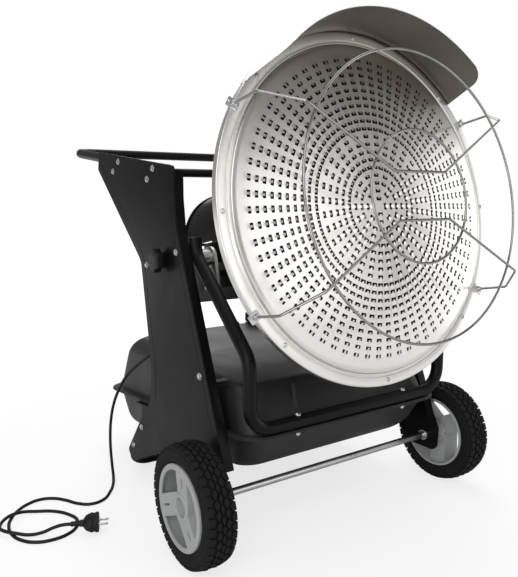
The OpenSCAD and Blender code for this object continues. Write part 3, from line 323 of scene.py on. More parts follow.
def outline(points, steps=4):
    """Flat face whose corners (x, y, radius) are rounded by Bevel on its corner points."""
    bm = bmesh.new()
    corners = [Vector((p[0], p[1], 0)) for p in points]
    verts = [bm.verts.new(c) for c in corners]
    bm.faces.new(verts)
    for i, point in enumerate(points):
        radius = point[2] if len(point) > 2 else 0
        if radius:
            before = corners[i - 1] - corners[i]
            after = corners[(i + 1) % len(corners)] - corners[i]
            reach = radius / tan(before.angle(after) / 2)
            bmesh.ops.bevel(bm, geom=[verts[i]], offset=reach, offset_type="OFFSET", segments=steps,
                            profile=0.5, affect="VERTICES", material=-1)
    return bm


def softened(bm, edge, steps=2, angle=40):
    """Bevels the edges where faces meet at more than the angle."""
    bm.normal_update()
    sharp = [e for e in bm.edges if len(e.link_faces) == 2 and e.calc_face_angle() > radians(angle)]
    bmesh.ops.bevel(bm, geom=sharp, offset=edge, offset_type="OFFSET", segments=steps, profile=0.5,
                    affect="EDGES", material=-1, clamp_overlap=True)
    return bm


def outward(bm):
    """Closes the seams of a shape and turns all its faces outwards."""
    bmesh.ops.remove_doubles(bm, verts=bm.verts, dist=0.0005)
    bmesh.ops.recalc_face_normals(bm, faces=bm.faces)
    return bm


def plate(points, thick, edge=0.0, steps=4, soft=2):
    """Outline in XY pulled out along +Z."""
    bm = outline(points, steps)
    pulled = bmesh.ops.extrude_face_region(bm, geom=bm.faces[:])
    bmesh.ops.translate(bm, vec=(0, 0, thick), verts=[g for g in pulled["geom"]
                                                      if isinstance(g, bmesh.types.BMVert)])
    outward(bm)
    return softened(bm, edge, soft) if edge else bm


def block(lo, hi, edge=0.0, steps=2):
    """Box between two corners, with soft edges."""
    lo, hi = Vector(lo), Vector(hi)
    bm = bmesh.new()
    bmesh.ops.create_cube(bm, size=1, matrix=at(*(lo + hi) / 2) @ Matrix.Diagonal((*(hi - lo), 1)))
    if edge:
        bmesh.ops.bevel(bm, geom=bm.edges[:], offset=edge, offset_type="OFFSET", segments=steps, profile=0.5,
                        affect="EDGES", material=-1)
    return bm


def turned(points, steps=48, arcs=4, angle=2 * pi):
    """Outline (radius, height, corner radius) spun about Z, a solid of revolution."""
    bm = outline(points, arcs)
    bmesh.ops.rotate(bm, matrix=Matrix.Rotation(pi / 2, 3, "X"), verts=bm.verts)
    if angle > 6.28:
        bmesh.ops.delete(bm, geom=bm.faces[:], context="FACES_ONLY")
        bmesh.ops.spin(bm, geom=bm.verts[:] + bm.edges[:], cent=(0, 0, 0), axis=(0, 0, 1), angle=angle,
                       steps=steps, use_merge=True)
    else:
        bmesh.ops.spin(bm, geom=bm.verts[:] + bm.edges[:] + bm.faces[:], cent=(0, 0, 0), axis=(0, 0, 1),
                       angle=angle, steps=steps, use_merge=False)
    return outward(bm)


def rod(radius, low, high, steps=24):
    """Plain round rod along Z."""
    return turned([(0, low), (radius, low), (radius, high), (0, high)], steps)


def bar(points, radius, bend=0.0, around=8, arc=8):
    """Round bar along points, with arcs of radius bend at its corners, made through a Bezier curve."""
    points = [Vector(p) for p in points]
    curve = bpy.data.curves.new("bar", "CURVE")
    curve.dimensions = "3D"
    curve.bevel_depth = radius
    curve.bevel_resolution = around
    curve.resolution_u = arc
    curve.use_fill_caps = True
    knots = []
    for i, p in enumerate(points):
        if i in (0, len(points) - 1) or not bend:
            knots.append((p, p, p))
            continue
        a, b = (p - points[i - 1]).normalized(), (points[i + 1] - p).normalized()
        angle = a.angle(b)
        trim, pull = bend * tan(angle / 2), bend * 4 / 3 * tan(angle / 4)
        start, end = p - a * trim, p + b * trim
        knots += [(start, start - a, start + a * pull), (end, end - b * pull, end + b)]
    spline = curve.splines.new("BEZIER")
    spline.bezier_points.add(len(knots) - 1)
    for knot, (co, left, right) in zip(spline.bezier_points, knots):
        knot.handle_left_type = knot.handle_right_type = "FREE"
        knot.co, knot.handle_left, knot.handle_right = co, left, right
    holder = bpy.data.objects.new("bar", curve)
    mesh = holder.to_mesh()
    bm = bmesh.new()
    bm.from_mesh(mesh)
    holder.to_mesh_clear()
    bpy.data.objects.remove(holder)
    bpy.data.curves.remove(curve)
    return outward(bm)


def cut(bm, *tools):
    """Takes the tool shapes away from a shape with an exact Boolean."""
    holders = []
    for shape in (bm, *tools):
        mesh = bpy.data.meshes.new("cutting")
        shape.to_mesh(mesh)
        shape.free()
        holders.append(bpy.data.objects.new("cutting", mesh))
        scene.collection.objects.link(holders[-1])
    for tool in holders[1:]:
        boolean = holders[0].modifiers.new("cut", "BOOLEAN")
        boolean.operation, boolean.solver, boolean.object = "DIFFERENCE", "EXACT", tool
    bpy.context.view_layer.update()
    shape = holders[0].evaluated_get(bpy.context.evaluated_depsgraph_get())
    result = bmesh.new()
    result.from_mesh(shape.to_mesh())
    for holder in holders:
        mesh = holder.data
        bpy.data.objects.remove(holder)
        bpy.data.meshes.remove(mesh)
    return result


def made(name, place, shapes, material, body, *replaced, smooth=32, inside=None):
    """Joins shapes into one piece at its place, which rides on a body and may replace frame nodes."""
    mesh = bpy.data.meshes.new(name)
    whole = bmesh.new()
    for shape in shapes:
        placed(shape, place).to_mesh(mesh)
        shape.free()
        whole.from_mesh(mesh)
    whole.to_mesh(mesh)
    whole.free()
    mesh.polygons.foreach_set("use_smooth", [True] * len(mesh.polygons))
    mesh.set_sharp_from_angle(angle=radians(smooth))
    mesh.materials.append(material)
    if inside:
        mesh.materials.append(inside)
    piece = bpy.data.objects.new(name, mesh)
    scene.collection.objects.link(piece)
    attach(piece, body)
    if replaced:
        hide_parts(*replaced)
    print(name, len(mesh.polygons), "faces")
    return piece


def each_side(shapes):
    """The shapes and their mirror images."""
    return list(shapes) + [mirrored(s.copy()) for s in shapes]


# %% [markdown]
# With the helpers ready, the leads are drawn along their routes. The mains lead is a free cord from the
# gland to its plug; the inner lead and the hose go back into the heater at their far ends.

# %%
def lead(name, route, diameter, material, node):
    curve = bpy.data.curves.new(name, "CURVE")
    curve.dimensions = "3D"
    curve.bevel_depth = diameter / 2000
    curve.bevel_resolution = 6
    curve.resolution_u = 6
    curve.use_fill_caps = True
    spline = curve.splines.new("BEZIER")
    spline.bezier_points.add(len(route) - 1)
    for knot, point in zip(spline.bezier_points, route):
        knot.co = PUT @ Vector(point)
        knot.handle_left_type = knot.handle_right_type = "AUTO"
    curve.materials.append(material)
    piece = bpy.data.objects.new(name, curve)
    scene.collection.objects.link(piece)
    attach(piece, "frame")
    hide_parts(node)
    return piece


mains = lead("mains_cord", mains_route, CORD_D, cord_rubber, "mains_lead")
inner = lead("inner_cord", inner_route, CORD_D, cord_rubber, "inner_lead")
hose = lead("fuel_hose", hose_route, 8.0, cord_rubber, "suction_hose")

# The plug: a ribbed relief, a round head with a finger groove, a flat face and two round pins
PLUG = PUT @ at(*mains_route[-1]) @ about("Z", radians(-24)) @ ALONG_X
relief = turned([(0, 0), (5.2, 0, 0.6), (5.6, 5), (4.8, 5.6), (4.8, 7), (6.0, 7.6), (6.2, 11), (5.2, 11.6),
                 (5.2, 13), (6.6, 13.6), (6.8, 17), (5.8, 17.6), (5.8, 19), (7.4, 19.6), (7.6, 28), (0, 28)],
                28)
head = turned([(0, 26), (9, 26, 2), (15.5, 31, 5), (20.8, 43, 6), (18.6, 48, 3), (20.8, 52, 2),
               (20.8, 57.6, 1.2), (0, 57.6)], 48)
pins = [placed(turned([(0, 57), (2.4, 57), (2.4, 77, 1.4), (0, 77)], 20), at(0, 9.5 * a, 0))
        for a in (-1, 1)]
plug = made("plug_body", PLUG, (relief, head), cord_rubber, "frame", "plug")
plug_pins = made("plug_pins", PLUG, pins, zinc, "frame", "plug")
GLAND = at(-284, 272, 350)
gland = turned([(0, -12), (6.2, -12, 1), (8.5, -9, 1), (8.5, 2, 0.6), (7.0, 3, 0.6), (7.0, 14, 1), (0, 14)],
               24)
foot = block((-11.5, -10, -10), (-5.5, 10, 10), 1.2)
made("gland", PUT @ GLAND, [placed(gland, ALONG_Y), foot], black_plastic, "frame", "lead_clamp")

# %% [markdown]
# Each side panel is one sheet of steel with a folded front edge. Its outline is drawn flat, the front
# edges are pulled inwards as the flange, the fold is bevelled and Solidify gives the sheet its thickness.
# A bent sheet catches one bright line along its fold, which is what makes it read as metal.

# %%
PX_OUT, SHEET, FLANGE_W, FLANGE_ROUND = 298, 2.5, 22, 10
FOLD_Y, FOLD_LOW, FOLD_TOP = 169, 177, 758
PANEL_LINE = [(FOLD_Y, FOLD_TOP), (FOLD_Y, 700, 80), (160, 635, 90), (-24, FOLD_LOW), (-40, 146, 12),
              (-38, 87, 22), (44, 86, 22), (92, 129, 40), (190, 152, 60), (431.94, 37, 12), (459.94, 60, 10),
              (379, 160), (316, 226, 50), (303, 310, 150), (347, 556, 30), (607, 772, 8), (596, 816, 5),
              (169, 766, 8)]


def sheet_of(bm, thick, name):
    """Gives an open sheet its thickness on the inner side, with Solidify."""
    mesh = bpy.data.meshes.new(name)
    bm.to_mesh(mesh)
    bm.free()
    holder = bpy.data.objects.new(name, mesh)
    scene.collection.objects.link(holder)
    wall = holder.modifiers.new("wall", "SOLIDIFY")
    wall.thickness, wall.offset, wall.use_even_offset = thick, -1, True
    bpy.context.view_layer.update()
    result = bmesh.new()
    result.from_mesh(holder.evaluated_get(bpy.context.evaluated_depsgraph_get()).to_mesh())
    bpy.data.objects.remove(holder)
    bpy.data.meshes.remove(mesh)
    return result


def panel_sheet():
    bm = outline(PANEL_LINE, 6)
    placed(bm, at(PX_OUT, 0, 0), UPRIGHT)
    front = [e for e in bm.edges
             if all(v.co.y < FOLD_Y + 0.1 and FOLD_LOW - 0.1 < v.co.z < FOLD_TOP + 0.1 for v in e.verts)]
    fold = bmesh.ops.extrude_edge_only(bm, edges=front)
    inner = [g for g in fold["geom"] if isinstance(g, bmesh.types.BMVert)]
    bmesh.ops.translate(bm, vec=(-FLANGE_W, 0, 0), verts=inner)
    bmesh.ops.bevel(bm, geom=[max(inner, key=lambda v: v.co.z)], offset=FLANGE_ROUND, offset_type="OFFSET",
                    segments=5, profile=0.5, affect="VERTICES", material=-1)
    bmesh.ops.recalc_face_normals(bm, faces=bm.faces)
    big = max(bm.faces, key=lambda f: f.calc_area())
    if big.normal.x < 0:
        bmesh.ops.reverse_faces(bm, faces=bm.faces)
    bmesh.ops.bevel(bm, geom=[e for e in front if e.is_valid], offset=2.6, offset_type="OFFSET", segments=4,
                    profile=0.5, affect="EDGES", material=-1)
    return sheet_of(bm, SHEET, "panel")


for side, flip in (("left", True), ("right", False)):
    sheet = panel_sheet()
    if flip:
        mirrored(sheet)
    made(side + "_side_panel", PUT, [sheet], black_paint, "frame", side + "_panel", smooth=28)

# %% [markdown]
# Stiffening creases run just inside the front and the rear edge of each panel. They are only a shallow
# press line on the real sheet, so a thin bar sunk almost wholly into the panel's face gives the same
# hairline of light without cutting the panel up.

# %%
CREASES = [[(189, 744), (189, 700), (181, 634), (20, 234)],
           [(575, 779), (330, 568), (282, 312), (286, 240)]]
creases = []
for line in CREASES:
    points = [(PX_OUT - 0.9, y, z) for y, z in line]
    creases.append(bar(points, 1.3, 60, around=3, arc=10))
made("panel_creases", PUT, each_side(creases), black_paint, "frame", smooth=60)

# %% [markdown]
# The frame's tubes are bent on a mandrel, so their corners are true arcs. `bar` makes each through a
# Bezier curve with the handle length of a circle, and a round bevel gives the tube.

# %%
HANDLE_Y, HANDLE_Z, HANDLE_RISE = 830, 827, radians(6.4)
FOOT_Y, FOOT_Z, FOOT_RAKE = 481, 12.5, radians(50)
TUBE_X, TUBE_R, LEG_X, LEG_R = 283, 12.5, 261, 13.5
BAR_Y, BAR_Z = -57, 260


def arm_z(y):
    return HANDLE_Z - (HANDLE_Y - y) * tan(HANDLE_RISE)


def foot_at(d):
    return (FOOT_Y - d * cos(FOOT_RAKE), FOOT_Z + 0.05 + d * sin(FOOT_RAKE))


handle = bar([(TUBE_X, 225, arm_z(225)), (TUBE_X, HANDLE_Y, HANDLE_Z), (-TUBE_X, HANDLE_Y, HANDLE_Z),
              (-TUBE_X, 225, arm_z(225))], TUBE_R, 58, 10, 12)
made("handle_bar", PUT, [handle], tube_paint, "frame", "handle_tube", smooth=50)
leg = [(150, 620), (148, 586), (BAR_Y, 401), (BAR_Y, BAR_Z)]
front = bar([(LEG_X, y, z) for y, z in leg] + [(-LEG_X, y, z) for y, z in reversed(leg)], LEG_R, 50, 10, 12)
made("front_bar", PUT, [front], tube_paint, "frame", "front_tube", smooth=50)
foot = bar([(TUBE_X, *foot_at(206)), (TUBE_X, FOOT_Y, FOOT_Z), (-TUBE_X, FOOT_Y, FOOT_Z),
            (-TUBE_X, *foot_at(206))], TUBE_R, 53, 10, 12)
made("foot_bar", PUT, [foot], tube_paint, "frame", "foot_tube", smooth=50)
BRACE = (500, arm_z(500) - 26)
brace = bar([(-293, *BRACE), (293, *BRACE)], 11, 0, 10)
made("rear_cross_bar", PUT, [brace], tube_paint, "frame", "rear_brace", smooth=50)

# %% [markdown]
# Under each arm an angle rail holds the cross bar, and a channel between panel and front leg carries the
# tilt stud. Both are plain folded sheet, so an L and a U outline are pulled along their length.

# %%
PX_IN = PX_OUT - SHEET
rail = plate([(0, 0), (-18, 0, 0.8), (-18, 2.5, 0.8), (-2.5, 2.5, 1.5), (-2.5, 28, 0.8), (0, 28, 0.8)], 260,
             0)
placed(rail, at(PX_IN, 272, arm_z(272)), about("X", HANDLE_RISE),
       at(0, 0, -TUBE_R - 28), about("X", pi / 2), Matrix.Scale(-1, 4, (0, 0, 1)))
outward(rail)
made("angle_rails", PUT, each_side([rail]), black_paint, "frame", "arm_rails")
CHANNEL_RUN = Vector((147, -39))
CHANNEL_LEN = CHANNEL_RUN.length + 44
for side, flip in (("left", True), ("right", False)):
    web = plate([(0, -27, 2.5), (21, -27, 0.8), (21, -24, 0.8), (3, -24, 1), (3, 24, 1), (21, 24, 0.8),
                 (21, 27, 0.8), (0, 27, 2.5)], CHANNEL_LEN)
    placed(web, at(PX_IN - 21, 165, 589), about("X", atan2(CHANNEL_RUN.y, CHANNEL_RUN.x)),
           at(0, -14, 0), Matrix(((1, 0, 0, 0), (0, 0, 1, 0), (0, 1, 0, 0), (0, 0, 0, 1))))
    outward(web)
    if flip:
        mirrored(web)
    made(side + "_bearing_channel", PUT, [web], black_paint, "frame", side + "_pivot_channel")

# %% [markdown]
# Zinc bolts are small but bright, so they show at once when they are missing. Each one is a turned
# washer, a hexagon with its upper edges bevelled, and a round shank whose end stands out of its nut.

# %%
PANEL_BOLTS = [(269, arm_z(269), 25), (465, arm_z(465), 25), (299, arm_z(299) - 26, 2.5), (165, 589, 21),
               (312, 550, 21), (69, 347, 3), (*foot_at(95), 27.5), (*foot_at(176), 27.5)]


def hexagon(across, height, chamfer=0.8):
    """Hexagon standing on z = 0, with its corners turned down at the top."""
    r = across / sqrt(3)
    bm = bmesh.new()
    bmesh.ops.create_cone(bm, cap_ends=True, segments=6, radius1=r, radius2=r, depth=height,
                          matrix=at(0, 0, height / 2))
    bmesh.ops.bevel(bm, geom=[e for e in bm.edges if all(v.co.z > height - 0.01 for v in e.verts)],
                    offset=chamfer, offset_type="OFFSET", segments=2, profile=0.5, affect="EDGES",
                    material=-1)
    return bm


heads, nuts = [], []
for y, z, reach in PANEL_BOLTS:
    spot = at(0, y, z) @ ALONG_X
    heads += [copied(turned([(0, -0.01), (7.5, -0.01, 0.4), (7.5, 1.5, 0.4), (6.3, 1.7), (6.3, 1.8),
                             (0, 1.8)], 28), spot, at(0, 0, PX_OUT)),
              copied(hexagon(10.4, 2.7), spot, at(0, 0, PX_OUT + 1.75), about("Z", y)),
              copied(turned([(0, 0), (4, 0), (4, reach + 11, 0.8), (0, reach + 11)], 20), spot,
                     at(0, 0, PX_IN - reach - 8.5))]
    nuts.append(copied(hexagon(13, 6.5), spot, at(0, 0, PX_IN - reach), about("X", pi),
                       about("Z", 0.4)))
spot = at(0, *BRACE) @ ALONG_X @ at(0, 0, PX_OUT)
heads += [copied(turned([(0, -0.01), (7.5, -0.01, 0.4), (7.5, 1.5, 0.4), (0, 1.5)], 28), spot),
          copied(hexagon(10.4, 3.0), spot, at(0, 0, 1.45))]
made("bolt_heads", PUT, each_side(heads), zinc, "frame", "panel_bolts")
made("bolt_nuts", PUT, each_side(nuts), zinc, "frame", "panel_nuts")

# %% [markdown]
# The tyre is a lathe shape with round shoulders and a step in its side wall. Its tread is five rows of
# blocks with pointed sides, and every other row is half a block further round. One pitch of five blocks
# is bevelled, and Spin with duplicates repeats it, so the zig-zag grooves are real gaps.

# %%
WHEEL_X0, AXLE_Z = 322, 120
PITCHES, BLOCK_H, GROOVE, POINT = 40, 6.4, 3.0, 3.0
TREAD_R, EDGE_TOP, MIDDLE_TOP = 118.4, 118.8, 119.9
TREAD_ROWS = (3.6, 17.0), (17.0, 27.6), (27.6, 36.4), (36.4, 47.0), (47.0, 60.4)


def tyre_body():
    return turned([(82, 5, 1), (94, 1.5, 3), (97, 0.9, 1), (99, 2.2, 1), (110, 2.0, 8), (115.2, 11, 5),
                   (115.2, 53, 5), (110, 62, 8), (99, 61.8, 1), (97, 63.1, 1), (94, 62.5, 3), (82, 59, 1)],
                  96, 4)


def tread():
    step = 2 * pi * TREAD_R / PITCHES
    whole = bpy.data.meshes.new("tread")
    bm = bmesh.new()
    half = (step - GROOVE) / 2
    for i, (low, high) in enumerate(TREAD_ROWS):
        edge_row = i in (0, len(TREAD_ROWS) - 1)
        # the two edge rows are pointed on their inner side only, and lean down to the tyre's side
        inner, outer = [(low, -half), (low, half)], [(high, half), (high, -half)]
        if i > 0:
            inner = [(low + POINT, -half), (low, 0), (low + POINT, half)]
        if i < len(TREAD_ROWS) - 1:
            outer = [(high - POINT, half), (high, 0), (high - POINT, -half)]
        shape = plate(inner[::-1] + outer[::-1], BLOCK_H, 0.9, soft=1)
        if edge_row:
            lean, middle = radians(-16 if i == 0 else 16), (low + high) / 2
            placed(shape, at(middle, 0, 1.6), about("Y", lean), at(-middle, 0, -2.2))
        shift = (i % 2) * step / 2
        top = EDGE_TOP if edge_row else MIDDLE_TOP
        placed(shape, at(0, shift, top - BLOCK_H))
        shape.to_mesh(whole)
        shape.free()
        bm.from_mesh(whole)
    bmesh.ops.spin(bm, geom=bm.verts[:] + bm.edges[:] + bm.faces[:], cent=(0, 0, 0), axis=(1, 0, 0),
                   angle=2 * pi * (PITCHES - 1) / PITCHES, steps=PITCHES - 1, use_duplicate=True)
    return bm


# %% [markdown]
# The rim is one plastic moulding: a barrel with a flat ring at its face, a hub with a well for the end of
# the axle, and three broad spokes that pass beside the axle and slope down from the ring to the hub. A
# spoke is a plate, cut to the slope with a turned tool, bevelled, and then slotted along its middle.

# %%
SPOKE_W, SPOKE_SHIFT, RING_FACE, HUB_FACE, HUB_R, WELL_R = 44, 8, 65, 59, 27, 19


def rim_shapes(first, shift):
    """A rim whose first spoke points to the angle first, and passes beside the axle by shift."""
    barrel = turned([(79, 0.3, 0.5), (84, 0.3, 1.2), (84, 63.4, 0.8), (82.6, RING_FACE, 0.8),
                     (73, RING_FACE, 0.8), (73, 60.5, 0.8), (79, 59.5, 1.5)], 96, 3)
    hub = turned([(7.6, -22.2), (17, -22.2, 2), (18, 8, 2), (HUB_R, 12, 2), (HUB_R, HUB_FACE + 1.6, 2.2),
                  (WELL_R, HUB_FACE + 1.6, 1.6), (WELL_R, 46.2, 1), (7.6, 46.2)], 64, 3)
    slope = turned([(0, HUB_FACE), (HUB_R, HUB_FACE), (72.5, RING_FACE - 0.2), (77, RING_FACE - 0.2),
                    (77, 62.5), (80.5, 62.5), (80.5, 0), (120, 0), (120, 90), (0, 90)], 96)
    bore = rod(WELL_R + 1, 0, 90, 48)
    spokes = []
    for i in range(3):
        low, high = shift - SPOKE_W / 2, shift + SPOKE_W / 2
        arm = placed(plate([(-4, low), (90, low), (90, high), (-4, high)], 60), at(0, 0, 14))
        arm = softened(cut(arm, copied(slope), copied(bore)), 1.6, 2, 50)
        slot = plate([(45, shift - 2.4, 2), (66, shift - 2.4, 2), (66, shift + 2.4, 2), (45, shift + 2.4, 2)],
                     30)
        arm = cut(arm, placed(slot, at(0, 0, 51)))
        # cuts and bevels leave slivers without any area, which are drawn together
        bmesh.ops.dissolve_degenerate(arm, dist=0.002, edges=arm.edges[:])
        spokes.append(placed(arm, about("Z", radians(first + 120 * i))))
    for tool in (slope, bore):
        tool.free()
    return [barrel, hub, *spokes]


for side in (-1, 1):
    name = "left" if side < 0 else "right"
    to_hub = at(WHEEL_X0, 0, AXLE_Z)
    flip = mirrored if side < 0 else (lambda s: s)
    # the wheel's own Z runs outwards along the axle, and its X points to the rear
    wheel = to_hub @ about("Y", pi / 2) @ about("Z", pi / 2)
    rim_turn, rim_shift = (96, SPOKE_SHIFT) if side < 0 else (152, -SPOKE_SHIFT)
    made(name + "_wheel_rim", PUT, [flip(placed(s, wheel)) for s in rim_shapes(rim_turn, rim_shift)],
         rim_plastic, name + "_wheel", name + "_rim")
    body = placed(tyre_body(), wheel)
    blocks = placed(tread(), to_hub)
    made(name + "_wheel_tyre", PUT, [flip(body), flip(blocks)], rubber, name + "_wheel", name + "_tyre")

# %%
# The axle, its collars with set screws, and the push-on clips at its ends
AXLE_R, AXLE_END = 7.5, 372
AXLE = PUT @ at(0, 0, AXLE_Z)
axle = turned([(0, -AXLE_END), (AXLE_R, -AXLE_END, 1), (AXLE_R, AXLE_END, 1), (0, AXLE_END)], 36)
made("axle_bar", AXLE, [placed(axle, ALONG_X)], zinc, "frame", "axle")
collar = turned([(AXLE_R, 285), (13, 285, 1), (13, 295, 1), (AXLE_R, 295)], 36)
grub = placed(hexagon(4.6, 2, 0.4), at(0, 12, 290), about("X", -pi / 2))
made("collar_rings", AXLE, each_side([placed(s, ALONG_X) for s in (collar, grub)]), zinc, "frame",
     "axle_collars")
clip = turned([(AXLE_R, 368.6), (12.5, 368.6, 0.6), (12.5, 370.6, 0.9), (AXLE_R, 370.6)], 36)
made("axle_end_clips", AXLE, each_side([placed(clip, ALONG_X)]), zinc, "frame", "axle_clips")

# %% [markdown]
# The tank is a moulding of two halves welded at a flat seam. Nothing on it has a hard edge: each half is
# one outline extruded in steps, and each step moves and shrinks the cap a little more, so that walls lean
# in and the shoulder rolls over into the roof or the floor.

# %%
SEAM_Y, SEAM_Z, SEAM_FALL = -70, 244.615, radians(5.7)
SEAM = PUT @ at(0, SEAM_Y, SEAM_Z) @ about("X", -SEAM_FALL)
SEAM_HALF, SEAM_LEN, SEAM_ROUND = 275, 745, 68
TANK_IN, FRONT_IN, REAR_IN = 255, 20, 715


def rolled(levels, corner):
    """Cap extruded through levels (half width, front, rear, height at front, height at rear)."""
    bm = outline([(-TANK_IN, FRONT_IN, corner), (TANK_IN, FRONT_IN, corner), (TANK_IN, REAR_IN, corner),
                  (-TANK_IN, REAR_IN, corner)], 8)
    cap = next(iter(bm.faces))
    last = TANK_IN, FRONT_IN, REAR_IN
    for w, f, r, hf, hr in levels:
        # with its edges in the call, the old cap goes and leaves no wall inside
        pulled = bmesh.ops.extrude_face_region(bm, geom=[cap, *cap.verts, *cap.edges])
        verts = [g for g in pulled["geom"] if isinstance(g, bmesh.types.BMVert)]
        cap = next(g for g in pulled["geom"] if isinstance(g, bmesh.types.BMFace))
        lw, lf, lr = last
        grow_y = (r - f) / (lr - lf)
        for v in verts:
            t = (v.co.y - lf) / (lr - lf)
            v.co.x *= w / lw
            v.co.y = f + (v.co.y - lf) * grow_y
            v.co.z = hf + (hr - hf) * t
        last = w, f, r
    bmesh.ops.delete(bm, geom=[f for f in bm.faces if all(abs(v.co.z) < 1e-6 for v in f.verts)],
                     context="FACES")
    return bm


def shoulder(front_lean, rear_lean, side_lean, front_height, rear_height, roll):
    """Levels that climb the leaning walls and then roll over with a quarter turn."""
    sign = 1 if front_height > 0 else -1
    steps = 6
    levels = []
    for k in range(steps + 1):
        a = pi / 2 * k / steps
        drop, inset = roll * (1 - sin(a)), roll * (1 - cos(a)) * 0.8
        front, rear = front_height - sign * drop, rear_height - sign * drop
        levels.append((TANK_IN - side_lean * abs(front) - inset, FRONT_IN + front_lean * abs(front) + inset,
                       REAR_IN - rear_lean * abs(rear) - inset, front, rear))
    return levels


# A wall's lean is how far it comes in for each millimetre of height
top_levels = shoulder(48 / 90, 84 / 146.2, 14 / 160, 90, 146.2, 40)
low_levels = shoulder(64 / 86, 30 / 102, 22 / 120, -86, -101.5, 34)
top = rolled(top_levels, 50)
low = rolled(low_levels, 50)
for half in (top, low):
    bmesh.ops.recalc_face_normals(half, faces=half.faces)
# recalculating an open shell can leave it inside out, and the cap tells
if max(top.faces, key=lambda f: f.calc_center_median().z).normal.z < 0:
    bmesh.ops.reverse_faces(top, faces=top.faces)
if min(low.faces, key=lambda f: f.calc_center_median().z).normal.z > 0:
    bmesh.ops.reverse_faces(low, faces=low.faces)


def seam_flange(z0, z1):
    corners = (-SEAM_HALF, 0), (SEAM_HALF, 0), (SEAM_HALF, SEAM_LEN), (-SEAM_HALF, SEAM_LEN)
    bm = outline([(x, y, SEAM_ROUND) for x, y in corners], 10)
    pulled = bmesh.ops.extrude_face_region(bm, geom=bm.faces[:])
    bmesh.ops.translate(bm, vec=(0, 0, z1 - z0), verts=[g for g in pulled["geom"]
                                                        if isinstance(g, bmesh.types.BMVert)])
    outward(bm)
    softened(bm, 1.2, 2, 50)
    return placed(bm, at(0, 0, z0))


# A short raised rib runs up the front wall over each bolt of the cross bar
rib_line = [bar([(134 * a, 31, 8), (118 * a, 62, 80)], 4.5, 0, 6) for a in (-1, 1)]
made("tank_upper_half", SEAM, (top, seam_flange(0, 3), *rib_line), tank_plastic, "frame", "tank_top",
     smooth=48)
made("tank_lower_half", SEAM, (low, seam_flange(-3, -0.05)), tank_plastic, "frame", "tank_bottom", smooth=48)

# %% [markdown]
# The dish flange is a spun ring: a flat face with a rolled rim outside and a groove inside, where the
# domed sheet sits. One profile with small radii, turned round the dish axis, makes all of it at once.

# %%
DISH = HEAD @ ALONG_Y
flange = turned([(314, 1.6), (323.4, 1.6, 0.6), (324.8, -0.7, 0.8), (327.8, -0.7, 0.8), (329.2, 1.6, 0.6),
                 (330.8, 1.6, 0.6), (332.2, 0, 0.8), (350, 0, 2.2), (350, 14, 0.5), (348.6, 14, 0.5),
                 (348.6, 1.5, 1.4), (333.4, 1.5, 0.8), (331.8, 3.0, 0.8), (328.4, 3.0, 0.8),
                 (327.2, 0.8, 0.6), (325.4, 0.8, 0.6), (324.2, 3.0, 0.8), (314, 3.0)], 160, 3)
made("flange_ring", DISH, [flange], flange_steel, "burner_head", "dish_flange", smooth=40)
pan_line = [(335.6, 1.6), (348.4, 1.6, 0.4), (348.4, 3.0, 0.4), (337, 3.0, 1), (332.4, 8.2, 2),
            (262.5, 52.5, 2), (261.5, 56.5, 2), (254.5, 58.0, 2), (205, 91.8, 2), (204, 95.8, 2),
            (197, 97.3, 2), (135.5, 139.4, 2), (134.3, 143), (122.3, 143), (122.3, 140), (132, 138, 2),
            (262, 49.8), (330.4, 6.6, 1)]
pan = turned(pan_line, 128, 3)
for f in pan.faces:
    f.material_index = 1 if f.normal.z < -0.2 and f.calc_center_median().xy.length < 330 else 0
made("spun_pan", DISH, [pan], spun_steel, "burner_head", "rear_pan", smooth=40, inside=soot)

# %% [markdown]
# The front sheet is a shallow dome pierced by nineteen rings of slots. Each slot keeps a small tongue on
# its outer side, pressed a little forward. The rings stand 15.3 mm apart and hold 4, 8, 16, 32 and at
# last 64 slots, all cut by one punch, so the slots keep their size and only their number changes.

# %%
DOME_R, DOME_TOP = 2479.2, 26.0
RING_STEP, COLUMNS = 15.3, 384
SLOT_LONG, SLOT_WIDE, TONGUE_WIDE = 12.8, 6.8, 4.4
counts = [4, 8, 16, 16] + [32] * 5 + [64] * 10
turned_half = [False] * 5 + [True] * 4 + [False] * 10
tongues = [3.2] * 17 + [4.6, 6.2]
print("slots", sum(counts), "outermost ring at", RING_STEP * len(counts), "mm")


def dome_back(r):
    return DOME_R - DOME_TOP - sqrt(DOME_R ** 2 - r ** 2)


# %%
# One line from the middle to the edge is spun into a grid, which has a row of its own at each slot's
# inner side, tongue tip and outer side
rows = [0.0, 5.0]
for n, tongue in enumerate(tongues, 1):
    outer = RING_STEP * n + SLOT_WIDE / 2
    rows += [outer - SLOT_WIDE, outer - tongue, outer]
rows += [303.0, 312.0, 320.8]
dome_grid = bmesh.new()
line = [dome_grid.verts.new((r, 0, dome_back(r))) for r in rows]
line += [dome_grid.verts.new(co) for co in ((321.8, 0, -4.4), (322, 0, -3.0), (322, 0, 1.4))]
for a, b in zip(line, line[1:]):
    dome_grid.edges.new((a, b))
bmesh.ops.spin(dome_grid, geom=dome_grid.verts[:] + dome_grid.edges[:], cent=(0, 0, 0), axis=(0, 0, 1),
               angle=2 * pi, steps=COLUMNS, use_merge=True)
bmesh.ops.remove_doubles(dome_grid, verts=dome_grid.verts, dist=0.0005)
bmesh.ops.recalc_face_normals(dome_grid, faces=dome_grid.faces)
if max(dome_grid.faces, key=lambda f: -f.calc_center_median().z).normal.z > 0:
    bmesh.ops.reverse_faces(dome_grid, faces=dome_grid.faces)
print("dome grid", len(dome_grid.faces), "faces")


